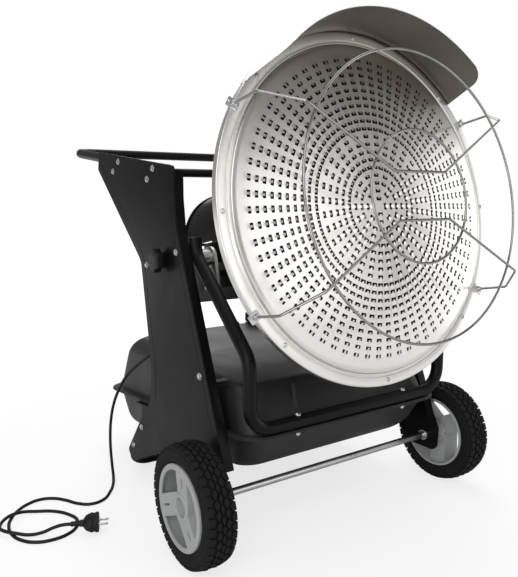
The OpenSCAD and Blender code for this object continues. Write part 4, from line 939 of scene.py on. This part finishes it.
# %%
# Where a point of the grid lies in its ring: the ring's number, how many columns it is from the middle
# of the nearest slot, and how many columns half a slot and half a tongue take
def in_ring(co, half_column=0.0):
    n = min(len(counts), max(1, round(co.xy.length / RING_STEP)))
    sector = COLUMNS / counts[n - 1]
    column = atan2(co.y, co.x) / (2 * pi) * COLUMNS
    column = round(column - half_column) + half_column
    start = sector / 2 if turned_half[n - 1] else 0
    off = (column - start + sector / 2) % sector - sector / 2
    wide = 2 * pi * RING_STEP * n / COLUMNS
    tongue = max(1, round(TONGUE_WIDE / 2 / wide))
    slot = min(max(tongue + 1, round(SLOT_LONG / 2 / wide)), int(sector / 2) - 1)
    return n, off, slot, tongue, start


gone, lifted = [], set()
for f in dome_grid.faces:
    middle = f.calc_center_median()
    n, off, slot, tongue, _ = in_ring(middle, 0.5)
    away = middle.xy.length - RING_STEP * n
    if abs(away) < SLOT_WIDE / 2 and abs(off) < slot:
        if abs(off) < tongue and away > SLOT_WIDE / 2 - tongues[n - 1]:
            lifted.update(v for v in f.verts if v.co.xy.length < RING_STEP * n + SLOT_WIDE / 2 - 0.1)
        else:
            gone.append(f)
print("faces cut", len(gone), "tongue points", len(lifted))

# %%
# The columns are then drawn together so that slots and tongues have their true widths in every ring
for v in dome_grid.verts:
    r = v.co.xy.length
    n, off, slot, tongue, start = in_ring(v.co)
    if r > 5.5 and r < 300 and abs(r - RING_STEP * n) < SLOT_WIDE / 2 + 0.1:
        sector = COLUMNS / counts[n - 1]
        places = [(0, 0), (tongue, TONGUE_WIDE / 2 / (RING_STEP * n)),
                  (slot, SLOT_LONG / 2 / (RING_STEP * n)), (sector / 2, pi / counts[n - 1])]
        for (c0, a0), (c1, a1) in zip(places, places[1:]):
            if c0 <= abs(off) <= c1:
                angle = a0 + (a1 - a0) * (abs(off) - c0) / (c1 - c0)
                turn = (angle if off > 0 else -angle) - off * 2 * pi / COLUMNS
                v.co.xy = Matrix.Rotation(turn, 2) @ v.co.xy
                break
    if v in lifted:
        v.co.z -= 1.5
bmesh.ops.delete(dome_grid, geom=gone, context="FACES")
dome = sheet_of(dome_grid, 1.2, "dome")
made("radiant_sheet", DISH, [dome], dome_steel, "burner_head", "emitter", smooth=40)

# %% [markdown]
# Pan head screws with a straight slot hold the flange. One head is turned and slotted with a Boolean,
# and turned copies of it go round the flange, each with its slot at another angle as a hand leaves it.

# %%
def slotted(radius, height, slot, depth, turn=0.0):
    head = turned([(0, 0), (radius, 0, 0.3), (radius, height * 0.45, height * 0.3),
                   (radius * 0.6, height, 1.2), (0, height)], 28)
    groove = placed(block((-radius - 1, -slot / 2, height - depth), (radius + 1, slot / 2, height + 2)),
                    about("Z", turn))
    return cut(head, groove)


screws = []
for i in range(8):
    around = about("Y", 2 * pi * i / 8)
    screws.append(placed(slotted(4.6, 2.6, 1.1, 1.2, 0.6 + 1.3 * i), around, at(0, 0, 339),
                         about("X", pi / 2)))
made("flange_screws", HEAD, screws, zinc, "burner_head", "dish_screws")

# %% [markdown]
# The visor is a flat blank that is rolled to the dish's radius. It is drawn flat with rounded front
# corners, cut into narrow strips with Bisect, given two pressed beads near the flange, and then bent
# round the axis. Its middle seam is a second strip lapped over it, with two rivets.

# %%
VISOR_R = 350.0
VISOR_BEADS = ((-5.5, 3.2), (4.5, 3.2))


def rolled_sheet(points, radius, cuts, beads=()):
    bm = outline(points, 8)
    lo, hi = min(v.co.x for v in bm.verts), max(v.co.x for v in bm.verts)
    for i in range(1, cuts):
        bmesh.ops.bisect_plane(bm, geom=bm.verts[:] + bm.edges[:] + bm.faces[:],
                               plane_co=(lo + (hi - lo) * i / cuts, 0, 0), plane_no=(1, 0, 0))
    rows = [h + k * w for h, w in beads for k in (-1, -0.5, 0, 0.5, 1)] + [108.6]
    for row in rows:
        bmesh.ops.bisect_plane(bm, geom=bm.verts[:] + bm.edges[:] + bm.faces[:], plane_co=(0, row, 0),
                               plane_no=(0, 1, 0))
    for v in bm.verts:
        s, h = v.co.x, v.co.y
        lift = sum(1.3 * (1 + cos(pi * min(1, abs(h - b) / w))) / 2 for b, w in beads)
        r = radius - lift
        v.co = Vector((r * sin(s / VISOR_R), -h, r * cos(s / VISOR_R)))
    bmesh.ops.recalc_face_normals(bm, faces=bm.faces)
    if min(bm.faces, key=lambda f: abs(f.calc_center_median().x)).normal.z < 0:
        bmesh.ops.reverse_faces(bm, faces=bm.faces)
    return bm


visor = sheet_of(rolled_sheet([(-305.4, -13), (305.4, -13), (273, 111, 40), (-273, 111, 40)], 351.2, 96,
                              VISOR_BEADS), 1.1, "visor")
# Faces on the inner side of the visor take the darker stainless, as painted shade
visor.normal_update()
for f in visor.faces:
    c = f.calc_center_median()
    f.material_index = 1 if f.normal.x * c.x + f.normal.z * c.z < -0.5 * c.length else 0
lap = sheet_of(rolled_sheet([(-13, -13), (13, -13), (13, 110), (-13, 110)], 352.3, 6), 1.05, "lap")
made("visor_sheet", HEAD, (visor, lap), stainless, "burner_head", "visor", smooth=30, inside=visor_painted_shade)
rivets = [placed(turned([(0, 0), (4.0, 0, 0.2), (3.6, 1.0, 0.6), (0, 1.7)], 20), at(0, y, 352.25))
          for y in (-87, -14)]
made("visor_rivet_heads", HEAD, rivets, zinc, "burner_head", "visor_rivets")

# %% [markdown]
# The guard is bent from bright round wire. Two long wires reach forward from clips on the flange and
# cross the dish, and two rings are welded behind them.

# %%
GUARD_H, RING_H, WIRE = 137, 132.9, 2.5
CLIP_X, CLIP_Z, CLIP_TURN = 297, 184, radians(31.8)


def wire_ring(radius):
    corners = [2 * pi * i / 10 for i in range(10)]
    return turned([(radius + WIRE * cos(a), WIRE * sin(a) - RING_H) for a in corners], 112)


wires = []
for up in (1, -1):
    half = [(-CLIP_X, -3, CLIP_Z), (-CLIP_X, -74, CLIP_Z), (-245.3, -GUARD_H, 152), (-65, -GUARD_H, 43.6)]
    line = half + [(-x, y, z) for x, y, z in reversed(half)]
    wires.append(bar([(x, y, z * up) for x, y, z in line], WIRE, 12, 5, 8))
wires += [placed(wire_ring(r), ALONG_Y) for r in (266.5, 121.5)]
made("guard_wires", HEAD, wires, wire_steel, "burner_head", "guard", smooth=60)


def clip_shapes():
    base = plate([(-11, -9, 2), (13, -9, 2), (13, 9, 2), (-11, 9, 2)], 2, 0.4)
    saddle = plate([(-5, 0), (-5, 7, 3), (5, 7, 3), (5, 0)], 9, 0.8)
    placed(saddle, at(0, 4.5, 1.5), about("X", pi / 2))
    screws = [placed(slotted(2.6, 1.8, 0.8, 0.9, t), at(x, 0, 2)) for x, t in ((-8, 0.5), (9.5, 1.9))]
    collar = turned([(2.5, 8), (4.2, 8, 0.6), (4.2, 11, 0.6), (2.5, 11)], 20)
    return [base, saddle, *screws, collar]


clips = []
for a in (1, -1):
    for b in (1, -1):
        turn = -CLIP_TURN * a * b + (pi if a < 0 else 0)
        clips += [placed(s, at(CLIP_X * a, 0, CLIP_Z * b), about("Y", turn), about("X", pi / 2))
                  for s in clip_shapes()]
made("guard_clip_plates", HEAD, clips, zinc, "burner_head", "guard_clips")

# %% [markdown]
# Behind the pan sits the stainless combustion chamber, coloured by heat. It is turned with two rolled
# swages, and a half round black hood with a rolled rear edge covers the burner behind it.

# %%
CHAMBER_REAR, HOOD_R, HOOD_FRONT, HOOD_REAR, TRAY_Z = 328, 129, 330, 554, -148
chamber = turned([(122, 143.05), (133.6, 143.05, 0.5), (133.6, 145, 0.5), (122, 145.4, 1), (122, 176, 1),
                  (119.6, 179, 1.5), (119.6, 184, 1.5), (122, 187, 1), (122, 280, 1), (119.6, 283, 1.5),
                  (119.6, 288, 1.5), (122, 291, 1), (122, 328, 3), (45.2, 328), (45.2, 326.5),
                  (119, 326.5, 2), (119, 146)], 96, 3)
made("chamber_drum", DISH, [chamber], warm_steel, "burner_head", "chamber", smooth=35)


def half_shell(radius, y0, y1, wall):
    """Half of a drum, open below."""
    shell = turned([(radius - wall, y0, 0), (radius, y0, 0), (radius, y1), (radius - wall, y1)], 48, 3,
                   angle=pi)
    return placed(shell, ALONG_Y, about("Z", pi))


def half_disc(radius, y0, thick):
    disc = turned([(0, y0), (radius, y0), (radius, y0 + thick), (0, y0 + thick)], 48, 3, angle=pi)
    return placed(disc, ALONG_Y, about("Z", pi))


front_wall = cut(half_disc(128, HOOD_FRONT, 1.5), placed(rod(45.1, 320, 340, 40), ALONG_Y))
legs = [block((-HOOD_R, HOOD_FRONT, TRAY_Z), (-80, HOOD_FRONT + 1.5, 0), 0.4),
        block((80, HOOD_FRONT, TRAY_Z), (HOOD_R, HOOD_FRONT + 1.5, 0), 0.4)]
lip = [block((sx * 128.2 - 0.8, 331, -6), (sx * 128.2 + 0.8, 552, 2), 0.3) for sx in (1, -1)]
made("burner_hood", HEAD, (half_shell(HOOD_R, HOOD_FRONT, HOOD_REAR, 1.5), front_wall, *legs, *lip),
     black_paint, "burner_head", "hood", smooth=35)

# %% [markdown]
# The rear of the hood is closed by a slotted plate, so the fan can breathe. The slots are cut with a
# Boolean in the plate, and a black rim is turned over its edge.

# %%
BOX_TOP = -52
GRILLE_R, GRILLE_AT = 127.4, 546
slots = []
for k in range(11):
    z = BOX_TOP + 12 + 14 * k
    w = sqrt(117 ** 2 - (z + 7) ** 2) if z > 0 else 115
    slots.append(placed(plate([(-w, 0, 3.4), (w, 0, 3.4), (w, 7, 3.4), (-w, 7, 3.4)], 8),
                        at(0, GRILLE_AT + 6, z), about("X", pi / 2)))
half_round = [(GRILLE_R * cos(pi * i / 32), GRILLE_R * sin(pi * i / 32)) for i in range(33)]
whole = plate([(-GRILLE_R, BOX_TOP), (GRILLE_R, BOX_TOP)] + half_round, 2)
whole = cut(placed(whole, at(0, GRILLE_AT + 2, 0), about("X", pi / 2)), *slots)
rim_line = [(129.1, 548.5, 1), (132, 548.5, 1.2), (132, 556, 1.5), (123.2, 556, 1.2), (123.2, 554.2, 0.6),
            (129.1, 554.2, 0.6)]
rim = placed(turned(rim_line, 48, 3, angle=pi), ALONG_Y, about("Z", pi))
made("hood_rear_grille", HEAD, (whole, rim), black_paint, "burner_head", "hood_grille", smooth=35)

# %% [markdown]
# The tray is folded from one sheet, with two upright walls and open ends. The saddles under the chamber
# are plates cut to its round, and the lugs of the tilt studs stand at both sides.

# %%
tray = plate([(-190, -150, 2.5), (190, -150, 2.5), (190, -122, 0.8), (188, -122, 0.8), (188, TRAY_Z, 1),
              (-188, TRAY_Z, 1), (-188, -122, 0.8), (-190, -122, 0.8)], 357)
placed(tray, at(0, 552, 0), about("X", pi / 2))
gap = plate([(47, 327, 6), (73, 327, 6), (73, 393, 6), (47, 393, 6)], 8)
tray = cut(tray, placed(gap, at(0, 0, -153)))
made("burner_pan_tray", HEAD, [tray], black_paint, "burner_head", "burner_tray", smooth=35)
saddles = []
for y in (210, 303):
    saddle = cut(block((-80, y, TRAY_Z), (80, y + 4, -78)),
                 placed(rod(122, 190, 340, 64), ALONG_Y),
                 placed(rod(9, -20, 20, 24), at(48, y, -128), ALONG_Y),
                 placed(rod(9, -20, 20, 24), at(-48, y, -128), ALONG_Y))
    saddles += [saddle, block((-80, y - 12, TRAY_Z), (80, y + 0.5, -145.5), 0.5)]
made("saddle_plates", HEAD, saddles, black_paint, "burner_head", "chamber_saddles")
lug = plate([(301, TRAY_Z), (369, TRAY_Z), (359, -27, 20), (311, -27, 20)], 8, 0.8)
lug = placed(lug, at(180, 0, 0), UPRIGHT)
made("tilt_lugs", HEAD, each_side([lug]), zinc, "burner_head", "pivot_lugs")
stud = turned([(0, 178), (8, 178, 1), (8, 188, 0.5), (19, 188, 1.5), (19, 273.7, 1.5), (6, 273.7, 0.5),
               (6, 318, 1), (0, 318)], 40)
stud = placed(stud, at(0, PIVOT_BACK, -PIVOT_DROP), ALONG_X)
made("tilt_studs", HEAD, each_side([stud]), zinc, "burner_head", "pivot_studs")

# %% [markdown]
# The clamping knobs are star shaped grips: an outline with six lobes, pulled out and well bevelled, on
# a round hub with a dished cap.

# %%
star = []
for i in range(12):
    r = 28 if i % 2 == 0 else 20
    star.append((r * cos(pi * i / 6), r * sin(pi * i / 6), 4.8 if i % 2 == 0 else 7))


def knob_shapes():
    grip = softened(plate(star, 18, 0, steps=4), 2.4, 3, 50)
    hub = turned([(6.1, 0), (15, 0, 1), (15, 6, 1), (17, 9, 1), (6.1, 9)], 36)
    cap = turned([(0, 17.4), (13, 17.4), (12, 18.6, 0.8), (8, 18.4, 0.8), (0, 18.2)], 36)
    return [hub, placed(grip, at(0, 0, 8)), placed(cap, at(0, 0, 7.8))]


for name, flip in (("left", True), ("right", False)):
    shapes = [placed(s, at(PX_OUT + 0.4, PIVOT.y, PIVOT.z), ALONG_X) for s in knob_shapes()]
    if flip:
        shapes = [mirrored(s) for s in shapes]
    made(name + "_star_knob", PUT, shapes, black_plastic, name + "_knob_body", name + "_knob")

# %% [markdown]
# Under the hood sits the burner: fan housing, motor, blast tube, nozzle, electrodes, ignition
# transformer and fuel pump. Little of it shows, but it shows from behind and below.

# %%
# The fan and what stands behind it are drawn for a fan 438 mm behind the flange, and moved to 400 mm
REAR = HEAD @ at(0, 400 - 438, 0)
drum = turned([(43, 438), (70, 438, 4), (74, 442, 2), (74, 468, 0.5), (75.4, 469, 0.4), (75.4, 472, 0.4),
               (74, 473, 0.5), (74, 496, 3), (70, 500, 3), (12, 500), (12, 498), (69, 498, 2), (72, 495, 2),
               (72, 443, 2), (69, 440, 3), (43, 440)], 80, 3)
vents = [placed(rod(9, 490, 510, 20), about("Z", pi / 4 * i + 0.39), at(58, 0, 0))
         for i in range(8)]
drum = placed(cut(drum, *vents), ALONG_Y)
ears = []
for i in range(4):
    turn = about("Y", pi / 4 + pi / 2 * i)
    ears += [placed(block((-6, 462, 72), (6, 478, 79), 1.2), turn),
             placed(turned([(0, 0), (3.4, 0, 0.3), (3.4, 2.4, 0.8), (0, 2.4)], 16), turn, at(0, 478, 76),
                    ALONG_Y)]
foot = cut(block((-40, 454, TRAY_Z), (40, 458, -68)), placed(rod(73, 430, 520, 48), ALONG_Y))
made("fan_drum", REAR, (drum, *ears, foot), black_paint, "burner_head", "fan_housing", smooth=35)

# %%
# The motor's can has cooling fins round its middle
can = turned([(5.1, 500), (42, 500, 2), (42, 512, 1), (40.5, 513, 0.6), (40.5, 553, 0.6), (42, 554, 1),
              (42, 566, 4), (22, 568, 2), (22, 571, 1.5), (0, 571), (0, 546), (5.1, 546)], 64, 3)
fins = []
for i in range(20):
    turn = about("Y", 2 * pi * i / 20)
    fins.append(placed(block((-0.9, 514, 39.5), (0.9, 552, 42), 0.4, 1), turn))
made("motor_can", REAR, (placed(can, ALONG_Y), *fins), cast, "burner_head", "motor", smooth=35)

# %%
# The blast pipe, the nozzle in its holder, and the electrodes in their ceramic sleeves
blast = turned([(43, 322), (45, 322, 0.5), (45, 398, 0.4), (45, 400), (43, 400)], 48)
made("blast_pipe", DISH, [blast], warm_steel, "burner_head", "blast_tube")
SPIDER = CHAMBER_REAR + 50
spider = turned([(0, SPIDER), (43, SPIDER, 0.4), (43, SPIDER + 2, 0.4), (0, SPIDER + 2)], 48)
spider = cut(spider, *[placed(rod(9, SPIDER - 5, SPIDER + 6, 20),
                              about("Z", pi / 3 * i), at(28, 0, 0)) for i in range(4)])
tip = turned([(0, SPIDER - 34), (4, SPIDER - 34, 1), (8, SPIDER - 20, 1), (8, SPIDER + 24, 1),
              (0, SPIDER + 24)], 28)
made("nozzle_body", DISH, (spider, tip), brass, "burner_head", "nozzle")
rods = []
for a in (-1, 1):
    rods.append(placed(turned([(0, SPIDER - 22), (3.2, SPIDER - 22, 0.6), (4, SPIDER - 18, 0.6),
                               (4, SPIDER + 22, 1), (0, SPIDER + 22)], 20), at(14 * a, -18, 0)))
    rods.append(placed(turned([(0, SPIDER - 38), (1.2, SPIDER - 38, 0.4), (1.2, SPIDER - 20),
                               (0, SPIDER - 20)], 12), at(14 * a, -18, 0)))
made("electrode_rods", DISH, rods, ceramic, "burner_head", "electrodes")

# %%
# The ignition transformer hangs under the hood's left edge, and the pump stands on the tray behind it
transformer = [block((-150, 378, -57), (-102, 420, -12), 2.5, 3),
               block((-127, 379, -13), (-108, 419, -2), 0.6),
               block((-151.2, 384, -50), (-149.5, 414, -19), 0.6)]
made("transformer_box", HEAD, transformer, black_plastic, "burner_head", "ignition_box")
PUMP = at(-131, 426, -78)
pump = [placed(turned([(0, -19), (17, -19, 2), (20, -15, 1), (20, 13, 1), (18.5, 14, 0.5), (18.5, 16, 0.5),
                       (20, 17, 0.5), (20, 19, 0.8), (0, 19)], 48), PUMP, ALONG_X),
        block((-150, 414, TRAY_Z), (-112, 438, -88), 1.5)]
pump += [placed(hexagon(7, 3, 0.5), PUMP, about("X", pi / 2 * i + 0.4), at(-19.4, 0, 13.5),
                about("Y", -pi / 2)) for i in range(4)]
pump += [placed(hexagon(12, 6, 0.8), PUMP, about("X", pi / 2), at(0, 0, 16))]
made("pump_body", REAR, pump, cast, "burner_head", "fuel_pump")

# %%
# One pipe takes the oil from the hose to the pump, and the other takes it on to the nozzle
LINE = 3.5
pipe_runs = [[(60, 336, -56), (60, 336, -28), (60, 388, -28), (60, 388, -78), (-112, 388, -78)],
             [(-131, 367.7, -78), (-131, 352, -78), (-131, 352, -14), (-43.8, 352, -14)]]
pipes = [bar(run, LINE, 12, 5, 6) for run in pipe_runs]
made("fuel_pipes", HEAD, pipes, pipe_steel, "burner_head", "fuel_line")

# %%
# The fan wheel has a shaft, a hub, a back plate, sixteen blades and a ring over their tips
blades = [turned([(0, 446), (5, 446, 0.5), (5, 542, 0.5), (0, 542)], 24),
          turned([(0, 468), (14, 468, 1), (14, 490, 1), (0, 490)], 32),
          turned([(0, 488), (65, 488, 0.5), (65, 490, 0.5), (0, 490)], 56),
          turned([(60, 446), (64.6, 446, 0.4), (64.6, 449, 0.4), (60, 449)], 56)]
for i in range(16):
    blades.append(placed(block((41, -0.75, 446), (64, 0.75, 488.01), 0.3, 1), about("Z", 2 * pi * i / 16)))
made("fan_impeller", REAR @ ALONG_Y, blades, zinc, "rotor", "fan_wheel")

# %% [markdown]
# The controls stand at the rear of the tray: a box with a framed rocker switch and a thermostat dial.
# Their only marks are plain ones that any such control carries, a line, a ring and a few ticks.

# %%
box_body = block((-127.5, 507, TRAY_Z), (127.5, 588, BOX_TOP), 2.0)
box_body = cut(box_body, block((-73, 575, -106), (-47, 600, -90)))
bezel = cut(block((-78, 579, -111), (-42, 591, -85), 1.4), block((-73.2, 570, -106.2), (-46.8, 600, -89.8)))
ticks = []
for i in range(11):
    a = radians(-135 + 27 * i)
    ticks.append(placed(block((-0.5, 587.6, 19.4), (0.5, 588.25, 23.0)), at(52, 0, -98), about("Y", a)))
screw_spots = [(-119, -60), (119, -60), (-119, -140), (119, -140)]
box_screws = [placed(slotted(3.2, 1.8, 0.8, 0.9, x), at(x, 587.9, z), about("X", -pi / 2))
              for x, z in screw_spots]
made("control_case", REAR, (box_body, bezel), black_paint, "burner_head", "control_box")
made("control_ticks", REAR, ticks, white_mark, "burner_head")
made("control_screws", REAR, box_screws, zinc, "burner_head")

# %%
# The rocker stands tipped to its off side in the bezel, on a pin
SWITCH = REAR @ at(-60, 586, -98)
rocker = placed(plate([(-4.5, -6, 1), (4.2, -6, 1.2), (2.6, 0, 12), (4.2, 6, 1.2), (-4.5, 6, 1)], 25.4, 0.5),
                about("X", radians(10)), at(-12.7, 0, 0), UPRIGHT)
pin = placed(turned([(0, -15.3), (1.5, -15.3, 0.3), (1.5, 15.3, 0.3), (0, 15.3)], 16), ALONG_X)
made("rocker", SWITCH, (rocker, pin), black_plastic, "switch_body", "power_switch")
line_mark = block((-4, 4.05, 1.9), (4, 4.5, 2.9))
ring_mark = placed(turned([(1.3, 0), (2.1, 0), (2.1, 0.5), (1.3, 0.5)], 20), at(0, 3.6, -3), ALONG_Y)
made("rocker_marks", SWITCH @ about("X", radians(10)), (line_mark, ring_mark), white_mark, "switch_body")

# %%
# The dial's grip is a fine cog with a raised top and one pointer line
DIAL = REAR @ at(52, 588, -98) @ ALONG_Y
cog = [(16.6 if i % 2 else 15.6, 2 * pi * i / 48) for i in range(48)]
dial = [placed(softened(plate([(r * cos(a), r * sin(a)) for r, a in cog], 11), 0.5, 1, 60), at(0, 0, 1.6)),
        turned([(0, 0.4), (17, 0.4, 0.4), (17, 2.2, 0.5), (0, 2.2)], 48),
        turned([(0, 12.0), (14.5, 12.0), (13.6, 14.4, 1), (0, 14.4)], 48),
        rod(3, -8, 1, 20)]
made("dial_grip", DIAL, dial, black_plastic, "dial_body", "thermostat_dial")
made("dial_pointer", DIAL, [block((-1.0, -13.2, 14.0), (1.0, -2, 15.2), 0.3)], white_mark, "dial_body")

# %% [markdown]
# The tank's fittings stand on its flat roof: a filler neck with a ribbed cap, a round gauge under a
# clear window, and the zinc fitting of the fuel hose.

# %%
ROOF_Z = 327.416
ROOF = PUT @ at(0, 0, ROOF_Z)
FILLER, GAUGE, OUTLET = ROOF @ at(150, 530, 0), ROOF @ at(62, 530, 0), ROOF @ at(60, 225, 0)
neck = turned([(26, 0), (38, 0, 1), (38, 3, 1), (30, 4.5, 2), (30, 26, 0.8), (26, 26)], 56)
made("neck_ring", FILLER, [neck], tank_plastic, "frame", "filler_neck")
cap_ribs = [placed(turned([(0, 9), (2.5, 9, 0.8), (2.5, 31, 1.2), (0, 31)], 14), about("Z", pi / 12 * i),
                   at(35.5, 0, 0)) for i in range(24)]
cap = turned([(0, 27.7), (30.1, 27.7), (30.1, 8), (36, 8, 1), (36, 32, 3), (27, 32, 1.5), (25, 30.6, 1.5),
              (0, 30.6)], 64)
grip = softened(plate([(-24, -4, 3), (24, -4, 3), (24, 4, 3), (-24, 4, 3)], 6), 1.2, 2, 50)
made("filler_cap", FILLER, (cap, *cap_ribs, placed(grip, at(0, 0, 26))),
     black_plastic, "cap_body", "fuel_cap")
gauge = turned([(0, 0), (20, 0, 1), (20, 12, 2.5), (15.5, 13, 1), (14.5, 16, 0.8), (12.8, 16, 0.4),
                (12.5, 14.6), (0, 14.6)], 48)
made("gauge_case", GAUGE, [gauge], black_plastic, "frame", "fuel_gauge")
needle = [block((-0.5, -9, 14.6), (0.5, 4, 15.1))]
needle += [placed(block((-0.35, 8.4, 14.6), (0.35, 11.4, 14.9)), about("Z", radians(a)))
           for a in (-80, -40, 0, 40, 80)]
made("gauge_marks", GAUGE, needle, white_mark, "frame")
fitting = [turned([(4, 0), (11, 0, 0.6), (11, 3, 0.6), (4, 3)], 32),
           placed(hexagon(15.6, 10, 0.8), at(0, 0, 3))]
made("hose_nut", OUTLET, fitting, zinc, "frame", "hose_fitting")

# %%
# Straps, shelves and the two long bolts that hold the tank
STRAP, STRAP_Y, STRAP_W, SHELF_X = 3, 56, 26, 268
straps = [block((PX_IN - STRAP, STRAP_Y, ROOF_Z), (PX_IN, STRAP_Y + STRAP_W, 361), 0.8),
          block((233, STRAP_Y, ROOF_Z), (PX_IN, STRAP_Y + STRAP_W, ROOF_Z + STRAP), 0.8)]


def under(y):
    """Height of the seam flange's lower face."""
    return SEAM_Z - (y - SEAM_Y) * tan(SEAM_FALL) - 3 / cos(SEAM_FALL)


y0, y1 = foot_at(176)[0] - 18, foot_at(95)[0] + 12
z0 = foot_at(95)[1] - 14
straps += [placed(plate([(y0, z0), (y1, z0), (y1, under(y1)), (y0, under(y0))], 2.5), at(SHELF_X, 0, 0),
                  UPRIGHT), placed(plate([(y0, under(y0) - 2.5), (y1, under(y1) - 2.5), (y1, under(y1)),
                                          (y0, under(y0))], 17), at(SHELF_X, 0, 0), UPRIGHT)]
made("strap_plates", PUT, each_side(straps), black_paint, "frame", "tank_straps")
BOLT_X, BAR_TOP = 147, BAR_Z + LEG_R - 0.05
low_end = under(BAR_Y) - 6.8
long_bolt = [turned([(0, low_end - 2), (4, low_end - 2, 0.8), (4, BAR_TOP + 0.15), (0, BAR_TOP + 0.15)], 24),
             turned([(0, BAR_TOP), (6.5, BAR_TOP, 0.4), (6.5, 276, 1.2), (3, 278.4, 1), (0, 278.4)], 28),
             placed(hexagon(11.2, 6), at(0, 0, low_end))]
made("tank_long_bolts", PUT, each_side([placed(s, at(BOLT_X, BAR_Y, 0)) for s in long_bolt]), zinc, "frame",
     "tank_bolts")

# %% [markdown]
# Last come the floor and the light. The picture has a plain white ground, so the world is white where
# the camera or a reflection sees it, and dimmer where it lights the object. A pale floor keeps a soft
# shadow, and large area lamps give long soft lights on the steel.

# %%
floor_mat = bpy.data.materials.new("pale floor")
floor_mat.use_nodes = True
tree = floor_mat.node_tree
matt = tree.nodes["Principled BSDF"]
matt.inputs["Base Color"].default_value = (0.86, 0.86, 0.86, 1)
matt.inputs["Roughness"].default_value = 0.9
matt.inputs["Specular IOR Level"].default_value = 0.0
glow = tree.nodes.new("ShaderNodeEmission")
glow.inputs["Color"].default_value = (1, 1, 1, 1)
glow.inputs["Strength"].default_value = 1.14
rays = tree.nodes.new("ShaderNodeLightPath")
coords = tree.nodes.new("ShaderNodeTexCoord")
away = tree.nodes.new("ShaderNodeVectorMath")
away.operation = "LENGTH"
fade = tree.nodes.new("ShaderNodeMapRange")
fade.interpolation_type = "SMOOTHSTEP"
for socket, value in (("From Min", 0.8), ("From Max", 1.8), ("To Min", 0.66), ("To Max", 1.0)):
    fade.inputs[socket].default_value = value
mirrored_far = tree.nodes.new("ShaderNodeMapRange")
mirrored_far.interpolation_type = "SMOOTHSTEP"
for socket, value in (("From Min", 1.8), ("From Max", 3.4), ("To Min", 0.0), ("To Max", 1.0)):
    mirrored_far.inputs[socket].default_value = value
in_view, in_steel, part = [tree.nodes.new("ShaderNodeMath") for _ in range(3)]
in_view.operation = in_steel.operation = "MULTIPLY"
part.operation = "MAXIMUM"
blend = tree.nodes.new("ShaderNodeMixShader")
wire_up(tree, (coords.outputs["Object"], away.inputs[0]), (away.outputs["Value"], fade.inputs["Value"]),
        (away.outputs["Value"], mirrored_far.inputs["Value"]),
        (rays.outputs["Is Camera Ray"], in_view.inputs[0]), (fade.outputs["Result"], in_view.inputs[1]),
        (rays.outputs["Is Glossy Ray"], in_steel.inputs[0]),
        (mirrored_far.outputs["Result"], in_steel.inputs[1]), (in_view.outputs[0], part.inputs[0]),
        (in_steel.outputs[0], part.inputs[1]), (part.outputs[0], blend.inputs[0]),
        (matt.outputs[0], blend.inputs[1]), (glow.outputs[0], blend.inputs[2]),
        (blend.outputs[0], tree.nodes["Material Output"].inputs["Surface"]))

# %%
# The floor is one flat square
ground = bmesh.new()
bmesh.ops.create_grid(ground, x_segments=1, y_segments=1, size=9)
ground_mesh = bpy.data.meshes.new("floor")
ground.to_mesh(ground_mesh)
floor = bpy.data.objects.new("floor", ground_mesh)
floor.data.materials.append(floor_mat)
scene.collection.objects.link(floor)

# %%
# The world is white to the camera, and dimmer as a light
world = bpy.data.worlds.new("studio")
scene.world = world
world.use_nodes = True
tree = world.node_tree
plain = tree.nodes["Background"]
plain.inputs["Color"].default_value = (1, 1, 1, 1)
plain.inputs["Strength"].default_value = 0.32
seen = tree.nodes.new("ShaderNodeBackground")
seen.inputs["Color"].default_value = (1, 1, 1, 1)
seen.inputs["Strength"].default_value = 1.0
rays = tree.nodes.new("ShaderNodeLightPath")
blend = tree.nodes.new("ShaderNodeMixShader")
wire_up(tree, (rays.outputs["Is Camera Ray"], blend.inputs[0]), (plain.outputs[0], blend.inputs[1]),
        (seen.outputs[0], blend.inputs[2]), (blend.outputs[0], tree.nodes["World Output"].inputs["Surface"]))


# %%
# Area lamps that look at the middle of the heater
AIM = Vector((0, 0, 0.5))


def lamp(name, spot, size, watts):
    light = bpy.data.lights.new(name, "AREA")
    light.shape, light.size, light.energy = "SQUARE", size, watts
    holder = bpy.data.objects.new(name, light)
    holder.location = spot
    holder.rotation_euler = (AIM - Vector(spot)).to_track_quat("-Z", "Y").to_euler()
    scene.collection.objects.link(holder)


lamp("key", (-2.6, -2.4, 2.6), 2.6, 50)
lamp("front", (1.2, -3.3, 1.35), 1.7, 13)
lamp("right", (3.3, -1.4, 1.0), 1.8, 15)
lamp("fold", (-3.0, -2.0, 0.5), 1.0, 16)
lamp("top", (0.2, 0.6, 3.4), 2.6, 40)
lamp("back", (2.0, 3.0, 2.2), 2.4, 30)
scene.view_settings.view_transform = "Standard"
